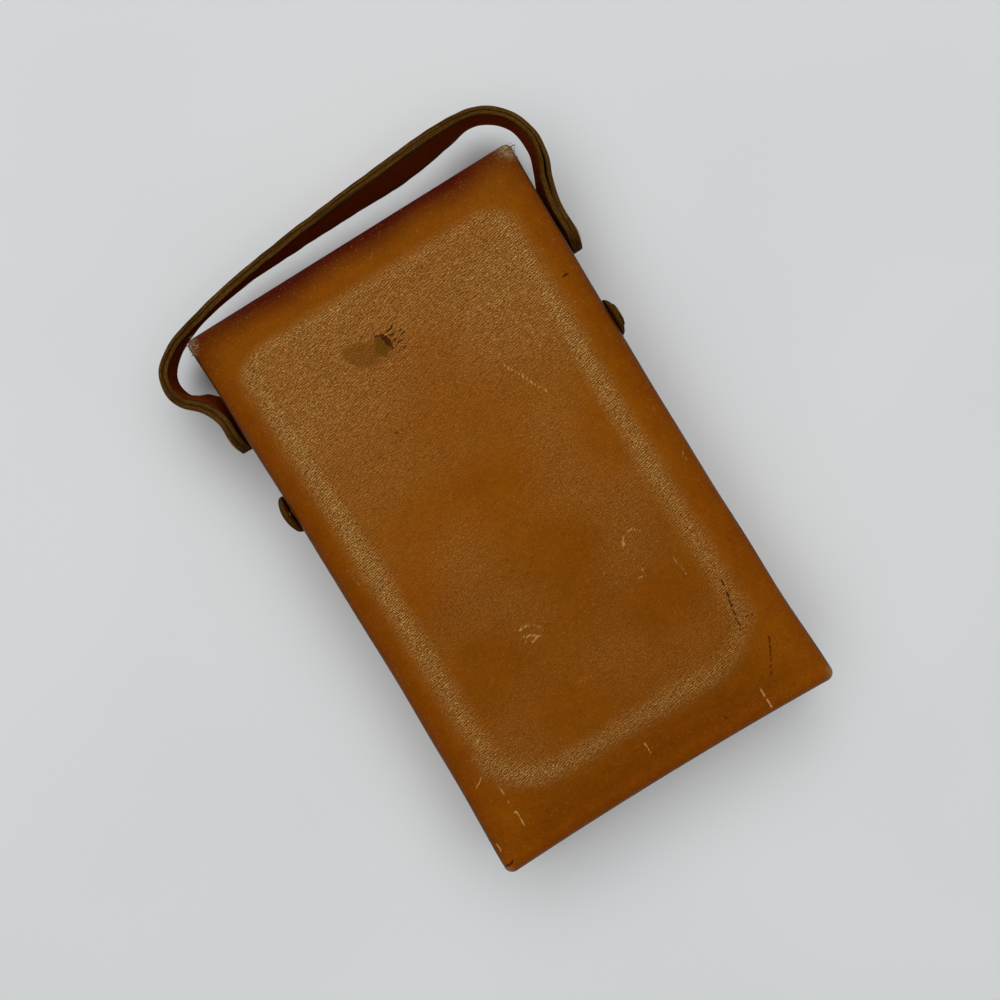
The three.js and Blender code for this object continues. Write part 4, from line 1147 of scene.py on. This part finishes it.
def make_tab(side, name):
    """A tab riveted at its foot, stepping out over the cover's lip, its long edges curling in."""
    base_low, base_high = node_box("right_tab_base")
    flap_low, flap_high = node_box("right_tab_flap")
    centre_y = (base_low[1] + base_high[1]) / 2
    half_width = (base_high[1] - base_low[1]) / 2
    bottom, top = base_low[2], flap_high[2]
    thick = base_high[0] - base_low[0]
    foot_x = (base_low[0] + base_high[0]) / 2
    out_x = flap_high[0] - thick / 2
    tip = 5.2
    levels = np.unique(np.concatenate([
        np.linspace(bottom, top - tip, 26), top - tip * (1 - np.sin(np.radians(np.linspace(0, 90, 12)))),
        bottom + np.array([0.1, 0.3, 0.6]),
    ]))
    points, raw, outward = [], [], []
    for z in levels:
        reach = half_width
        if z > top - tip:
            reach = half_width - tip + math.sqrt(max(tip**2 - (z - top + tip) ** 2, 0.35))
        if z < bottom + 0.6:
            reach = half_width - 0.5 * (1 - (z - bottom) / 0.6) ** 2
        ring = band_ring(reach, thick / 2 - 0.35, 0.5)
        step = smooth((z - 14.5) / 9.5)
        x = foot_x + (out_x - foot_x) * step + ring[:, 0] - (0.2 if side < 0 else 0.6)
        curl = step * (1.0 * (ring[:, 1] / half_width) ** 2)
        inner_limit = np.where(ring[:, 0] < 0, 55.6, 0)
        x = np.maximum(x - curl, np.where(step > 0.5, inner_limit, 0))
        points.append(np.column_stack([side * x, centre_y + ring[:, 1], np.full(len(ring), z)]))
        edge = smooth((np.abs(ring[:, 1]) - reach + 0.7) / 0.5)
        raw.append(np.maximum(edge, smooth((z - top + 0.9) / 0.6)))
        outward.append(ring[:, 0] > 0)
    size = len(points[0])
    points, raw, outward = (np.concatenate(part) for part in (points, raw, outward))
    # painted shade: the tab's face is a quarter darker than the strap's face, and its raw edges darker than
    # the strap's
    tone = np.where(outward[:, None], STRAP_FACE * 0.75, STRAP_BACK)
    tone = blend(tone, RAW_OLIVE * 0.6, raw)
    counts = [size] * len(levels)
    faces = capped(loft_faces(counts), counts)
    piece = mesh_piece(f"{name}_tab_leather", points, faces, STRAP_LEATHER, tone=tone)
    add_layer(piece, "wear", "FLOAT", raw * 0.8)
    x, y, z = points.T
    add_layer(piece, "run", "FLOAT_VECTOR", np.column_stack([z, np.abs(x), y]))
    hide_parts(f"{name}_tab_base", f"{name}_tab_flap")
    start, end = (flap_low[2] - 1.2) * MM, (flap_low[2] + 1.6) * MM
    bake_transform(piece, "case_body", f"{name}_tab", start=(0, 0, start), end=(0, 0, end))


# ---- rivets and press studs: profiles from a stud's two faces, in x, and its radius

def strap_rivet_profile(low, high, radius):
    face, wall = high - 0.45, GUSSET_LOW[0]
    return [(low, 0), (low, radius - 1.3), (low + 0.5, radius - 0.5), (wall - 0.4, radius - 0.4),
            (wall - 0.3, 1.9), (face - 1.5, 1.9), (face - 1.4, radius - 0.35), (face - 1.25, radius - 0.05),
            (face - 1.05, radius), (face - 0.85, radius - 0.12),
            *arc_profile((face - 0.8, radius - 0.5), (face - 0.55, 1.3), 0.42, 9),
            (face - 0.42, 1.0), (face - 0.5, 0.6), (face - 0.52, 0)]


def washer_profile(low, high, radius):
    return [(low, 2.2), (low, radius - 0.4), (low + 0.35, radius), (high - 0.35, radius),
            (high, radius - 0.4), (high, 2.2)]


def press_cap_profile(low, high, radius):
    face = high - 0.5
    return [(low, 0), (low, 1.3), (low + 0.3, 1.6), (face - 1.05, 1.6), (face - 0.95, radius - 0.3),
            (face - 0.8, radius), (face - 0.6, radius),
            *arc_profile((face - 0.5, radius - 0.25), (face - 0.1, 0.25), 0.1, 10), (face - 0.08, 0)]


def press_stud_profile(low, high, radius):
    return [(low, 0), (low, radius - 0.15), (low + 0.15, radius), (low + 0.4, radius),
            (low + 0.55, radius * 0.68), (high - 0.3, radius * 0.55), (high - 0.12, radius * 0.62),
            (high - 0.02, radius * 0.4), (high, 0)]


def foot_rivet_profile(low, high, radius):
    return [(low, 0), (low, radius - 0.3), (low + 0.3, radius), (low + 0.6, radius - 0.1), (low + 0.7, 0.9),
            (high - 0.62, 0.9), (high - 0.55, radius - 0.15), (high - 0.42, radius),
            *arc_profile((high - 0.32, radius - 0.2), (high - 0.05, 0.2), 0.06, 6), (high, 0)]


def make_stud(name, node, label, profile, slot="stud_brass", body="case_body", material=BRASS, **shape):
    """A turned piece in place of a CAD stud; both sides take the right one's sizes."""
    low, high = node_box(f"right_{node}")
    _, y, z = (low + high) / 2
    outline_of = profile(low[0], high[0], (high[2] - low[2]) / 2)
    side = 1 if name == "right" else -1
    piece = turned(f"{name}_{label}", outline_of, (0, y, z), material, side=side, **shape)
    place(piece, slot, body, f"{name}_{node}")
    return piece


def make_studs(name):
    make_stud(name, "strap_rivet", "rivet", strap_rivet_profile)
    washer = make_stud(name, "strap_spacer", "strap_washer", washer_profile, "strap_lining_leather",
                       material=STRAP_LEATHER, hollow=True)
    count = len(washer.data.vertices)
    paint_tone(washer.data, np.tile(STRAP_BACK * 0.8, (count, 1)))
    add_layer(washer, "wear", "FLOAT", np.full(count, 0.5))
    make_stud(name, "snap_cap", "press_cap", press_cap_profile, body=f"{name}_tab")
    make_stud(name, "snap_stud", "press_stud", press_stud_profile, body="cover")
    for number in (1, 2):
        make_stud(name, f"tab_rivet_{number}", f"foot_rivet_{number}", foot_rivet_profile, steps=32)


# ---- linings and the fitted block

def make_cover_lining():
    """Felt glued inside the cover, following the raised panel."""
    low, high = node_box("cover_lining")
    thick, glue = 0.7, 0.15

    def skin(inset, depth):
        border = outline(low[0] + inset, high[0] - inset, low[1] + inset, high[1] - inset, 3, 2)
        return rings_under_face(border, 4 + inset, np.linspace(0, 1, 8), (0.9, 0.7, 0.4, 0.1), depth)

    upper, upper_pole = skin(0, LEATHER + glue)
    lower, lower_pole = skin(0.3, LEATHER + glue + thick)
    rings = [[upper_pole], *upper[::-1], *lower, [lower_pole]]
    points = np.concatenate([np.atleast_2d(r) for r in rings])
    _, y, _ = points.T
    points[:, 2] += wander(points, 0.06, 9, 31) - 0.7 * smooth((y - 30) / 50)
    piece = mesh_piece("cover_felt", points, loft_faces([len(r) for r in rings]), FELT)
    place(piece, "felt", "cover", "cover_lining")


def make_block():
    refined("fitted_block", "felted_block", FELT, "block_felt", "case_body", width=0.9, segments=3, angle=40)
    for name in ("near", "far"):
        pad = refined(f"{name}_rest_pad", f"{name}_felt_rest", FELT, "felt", "case_body", width=0.25)
    lining = refined("back_lining", "back_felt", FELT, "felt", "case_body", width=0.2)


# ---- the slide rule

RAIL_TOP = node_box("rule_right_rail")[1][2]
SLIDE_TOP = node_box("rule_slide")[1][2]
SCALE_LENGTH = 118.0
MINOR_STEPS = [(1, 2, 0.1), (2, 5, 0.2), (5, 10, 0.5)]  # from, to and step between a scale's lines
BAR_FACES = [(0, 1, 2, 3), (4, 5, 6, 7), (0, 1, 5, 4), (1, 2, 6, 5), (2, 3, 7, 6), (3, 0, 4, 7)]


def bar_corners(x, y, z):
    """The eight corners of a bar, from its (low, high) pairs."""
    return [(x[i], y[j], height) for height in z for i, j in ((0, 0), (1, 0), (1, 1), (0, 1))]


def scale_values(decades):
    """The values that get a line on a scale of one or two decades, with how long each line is."""
    values = []
    for start, end, step in MINOR_STEPS:
        for k in range(int(round((end - start) / step))):
            value = start + k * step
            whole = abs(value - round(value)) < 1e-6
            half = abs(value * 2 - round(value * 2)) < 1e-6
            values.append((value, 1.0 if whole else 0.72 if half else 0.48))
    values.append((10, 1.0))
    marks = []
    for decade in range(decades):
        marks += [((decade + math.log10(value)) / decades, size, value) for value, size in values]
    return marks


def scale_lines(name, x_edge, direction, top, body, decades, material=BLACK_INK, tall=2.6):
    """Engraved lines from an edge of a rail or slide inwards, with its numbers as separate pieces."""
    points, faces = [], []
    width, height = 0.11, 0.035
    for share, size, _ in scale_values(decades):
        y = (share - 0.5) * SCALE_LENGTH
        faces += [tuple(len(points) + v for v in face) for face in BAR_FACES]
        x = (x_edge, x_edge + direction * tall * size)
        points += bar_corners(x, (y - width / 2, y + width / 2), (top - 0.05, top + height))
    lines = mesh_piece(f"{name}_lines", points, faces, material, smooth=False)
    place(lines, "celluloid", body)
    x_start = x_edge + direction * (tall + 0.3)
    numbers = scale_numbers(f"{name}_numbers", x_start, direction, top, decades, material)
    place(numbers, "celluloid", body)


def scale_numbers(name, x_start, direction, top, decades, material):
    """The digits 1 to 9, read along the rule, joined into one piece."""
    height = 1.9
    points, faces = [], []
    for decade in range(decades):
        for value in range(1, 11 if decade == decades - 1 else 10):
            curve = bpy.data.curves.new("digit", "FONT")
            curve.body = str(value if value < 10 else 1)
            curve.size = height
            curve.align_x = "CENTER"
            curve.align_y = "CENTER"
            curve.extrude = 0.02
            curve.resolution_u = 3
            holder = bpy.data.objects.new("digit", curve)
            digit = holder.to_mesh()
            share = (decade + math.log10(value)) / decades
            centre = (x_start + direction * height * 0.42, (share - 0.5) * SCALE_LENGTH, top + 0.015)
            first = len(points)
            points += [(centre[0] - v.co.y, centre[1] + v.co.x, centre[2] + v.co.z) for v in digit.vertices]
            faces += [tuple(first + v for v in face.vertices) for face in digit.polygons]
            bpy.data.objects.remove(holder)
            bpy.data.curves.remove(curve)
    return mesh_piece(name, points, faces, material, smooth=False)


def make_rule():
    for side in ("left", "right"):
        refined(f"rule_{side}_rail", f"{side}_rail", IVORY, "celluloid", "case_body", width=0.22)
    refined("rule_slide", "slide_bar", IVORY, "celluloid", "rule_slide_bar", width=0.18)
    inner = 7.3
    half = 7.0
    scale_lines("right_rail_scale", inner + 0.25, 1, RAIL_TOP, "case_body", 1)
    scale_lines("left_rail_scale", -inner - 0.25, -1, RAIL_TOP, "case_body", 2)
    scale_lines("slide_right_scale", half - 0.25, -1, SLIDE_TOP, "rule_slide_bar", 1, RED_INK, 2.1)
    scale_lines("slide_left_scale", -half + 0.25, 1, SLIDE_TOP, "rule_slide_bar", 2, tall=2.1)
    for end in ("near", "far"):
        for face in ("front", "back"):
            node = f"{end}_{face}_bracket"
            refined(node, f"{end}_{face}_plate", NICKEL, "bright_metal", "case_body", width=0.3)
        for side in ("left", "right"):
            make_screw(f"{end}_{side}_screw")


def make_screw(node):
    """A slotted cheese-head screw."""
    low, high = node_box(node)
    x, y, _ = (low + high) / 2
    radius = (high[0] - low[0]) / 2
    top = high[2]
    profile = [(low[2], 0), (low[2], 1.0), (top - 0.62, 1.0), (top - 0.6, radius - 0.08), (top - 0.5, radius),
               (top - 0.22, radius), (top - 0.05, radius - 0.25), (top, radius - 0.6), (top, 0)]
    piece = turned(f"{node}_head", profile, (x, y, 0), NICKEL, axis="Z", steps=40)
    turn = RNG.uniform(0, math.pi)
    slot = np.array(bar_corners((-4.0, 4.0), (-0.25, 0.25), (top - 0.3, top + 0.3)))
    along = np.array([math.cos(turn), math.sin(turn)])
    slot[:, :2] = (x, y) + slot[:, :1] * along + slot[:, 1:2] * (-along[1], along[0])
    tool = mesh_piece("screw_slot", slot, BAR_FACES, NICKEL, smooth=False)
    cut = piece.modifiers.new("slot", "BOOLEAN")
    cut.operation = "DIFFERENCE"
    cut.object = tool
    cut.solver = "EXACT"
    cut_mesh = bpy.data.meshes.new_from_object(piece.evaluated_get(bpy.context.evaluated_depsgraph_get()))
    piece.modifiers.clear()
    piece.data = cut_mesh
    bpy.data.objects.remove(tool)
    piece.data.set_sharp_from_angle(angle=math.radians(35))
    place(piece, "bright_metal", "case_body", node)


def make_cursor():
    for face in ("front", "back"):
        refined(f"cursor_{face}_glass", f"cursor_{face}_pane", CLEAR, "clear", "cursor", width=0.2)
    for side in ("left", "right"):
        refined(f"cursor_{side}_runner", f"cursor_{side}_bar", NICKEL, "bright_metal", "cursor", width=0.35)
    refined("cursor_spring", "cursor_leaf_spring", NICKEL, "bright_metal", "cursor", width=0.08, segments=2)
    low, high = node_box("cursor_front_glass")
    top = low[2]
    points = bar_corners((low[0] + 0.4, high[0] - 0.4), (-0.05, 0.05), (top - 0.06, top - 0.02))
    hair = mesh_piece("cursor_hairline", points, BAR_FACES, RED_INK, smooth=False)
    place(hair, "clear", "cursor")


# ---- floor, light and camera

CAMERA_HEIGHT = 340.0
CAMERA_OFFSET = (-1.0, 3.3)
VIEW_WIDTH = 290.5  # what the view takes in across, at the height of the cover's edge
CASE_LEAN = 31.44  # how far the strap end leans to the left in the view


def make_floor():
    net = Net(bpy.data.materials.new("pale table"))
    where = net.node("TexCoord").outputs["Object"]
    # painted light and shade: the table is a little lighter and darker in broad soft patches
    painted_light_patches = net.noise(where, 6.0, 2.0)
    shade = net.mix(net.band(painted_light_patches, 0.3, 0.7), (0.805, 0.815, 0.815), (0.84, 0.85, 0.845))
    material = net.finish(shade, 0.6, specular_ior_level=0.2)
    mesh = bpy.data.meshes.new("floor")
    half = 3.0  # metres
    corners = [(-half, -half, 0), (half, -half, 0), (half, half, 0), (-half, half, 0)]
    mesh.from_pydata(corners, [], [(0, 1, 2, 3)])
    mesh.materials.append(material)
    floor = add_object("floor", mesh)
    floor.location.z = -0.0003


def add_light(name, place, aim, size, power, color=(1, 1, 1)):
    lamp = bpy.data.lights.new(name, "AREA")
    lamp.shape = "RECTANGLE"
    lamp.size, lamp.size_y = size
    lamp.energy = power
    lamp.color = color
    holder = add_object(name, lamp)
    holder.location = place
    holder.rotation_mode = "QUATERNION"
    holder.rotation_quaternion = (Vector(aim) - Vector(place)).to_track_quat("-Z", "Y")


def make_lights():
    """A soft bright ring overhead, strongest towards the strap end, round a dim patch where the camera is."""
    world = bpy.data.worlds.new("room")
    bpy.context.scene.world = world
    net = Net(world)
    direction = net.node("TexCoord").outputs["Generated"]

    def facing(lean):
        angle = math.radians(lean)
        return net.vector("DOT_PRODUCT", direction, (0, math.sin(angle), math.cos(angle)))

    def cosine(degrees):
        return math.cos(math.radians(degrees))

    inner = net.band(facing(-11), cosine(12), cosine(24), 0.0, 1.0)
    outer = net.band(facing(8), cosine(52), cosine(36), 0.12, 1.0)
    side = net.math("ADD", net.vector("DOT_PRODUCT", direction, (0.1, 0.2, 0.0)), 1.0)
    level = net.times(net.times(inner, outer), side)
    background = world.node_tree.nodes["Background"]
    background.inputs["Color"].default_value = (0.97, 0.985, 1.0, 1.0)
    net.feed(background.inputs["Strength"], net.times(level, 1.62))
    add_light("window", (0.25, 0.8, 0.9), (0, 0, 0), (0.7, 0.5), 1.2, (0.97, 0.985, 1.0))


def make_camera():
    lens = bpy.data.cameras.new("camera")
    lens.sensor_width = 36.0
    away = CAMERA_HEIGHT - EDGE_Z
    lens.lens = lens.sensor_width * away / VIEW_WIDTH
    lens.clip_start, lens.clip_end = 0.01, 20
    holder = add_object("camera", lens)
    holder.location = (CAMERA_OFFSET[0] * MM, CAMERA_OFFSET[1] * MM, CAMERA_HEIGHT * MM)
    holder.rotation_euler = (0, 0, -math.radians(CASE_LEAN))
    bpy.context.scene.camera = holder


# ---- the scene

make_camera()
make_floor()
make_lights()
bpy.context.scene.view_settings.view_transform = "Standard"

make_cover()
make_walls()
make_back()
make_stitching()
make_frayed_ends()
make_strap()
for side, name in ((1, "right"), (-1, "left")):
    make_tab(side, name)
    make_studs(name)
make_cover_lining()
make_block()
make_rule()
make_cursor()
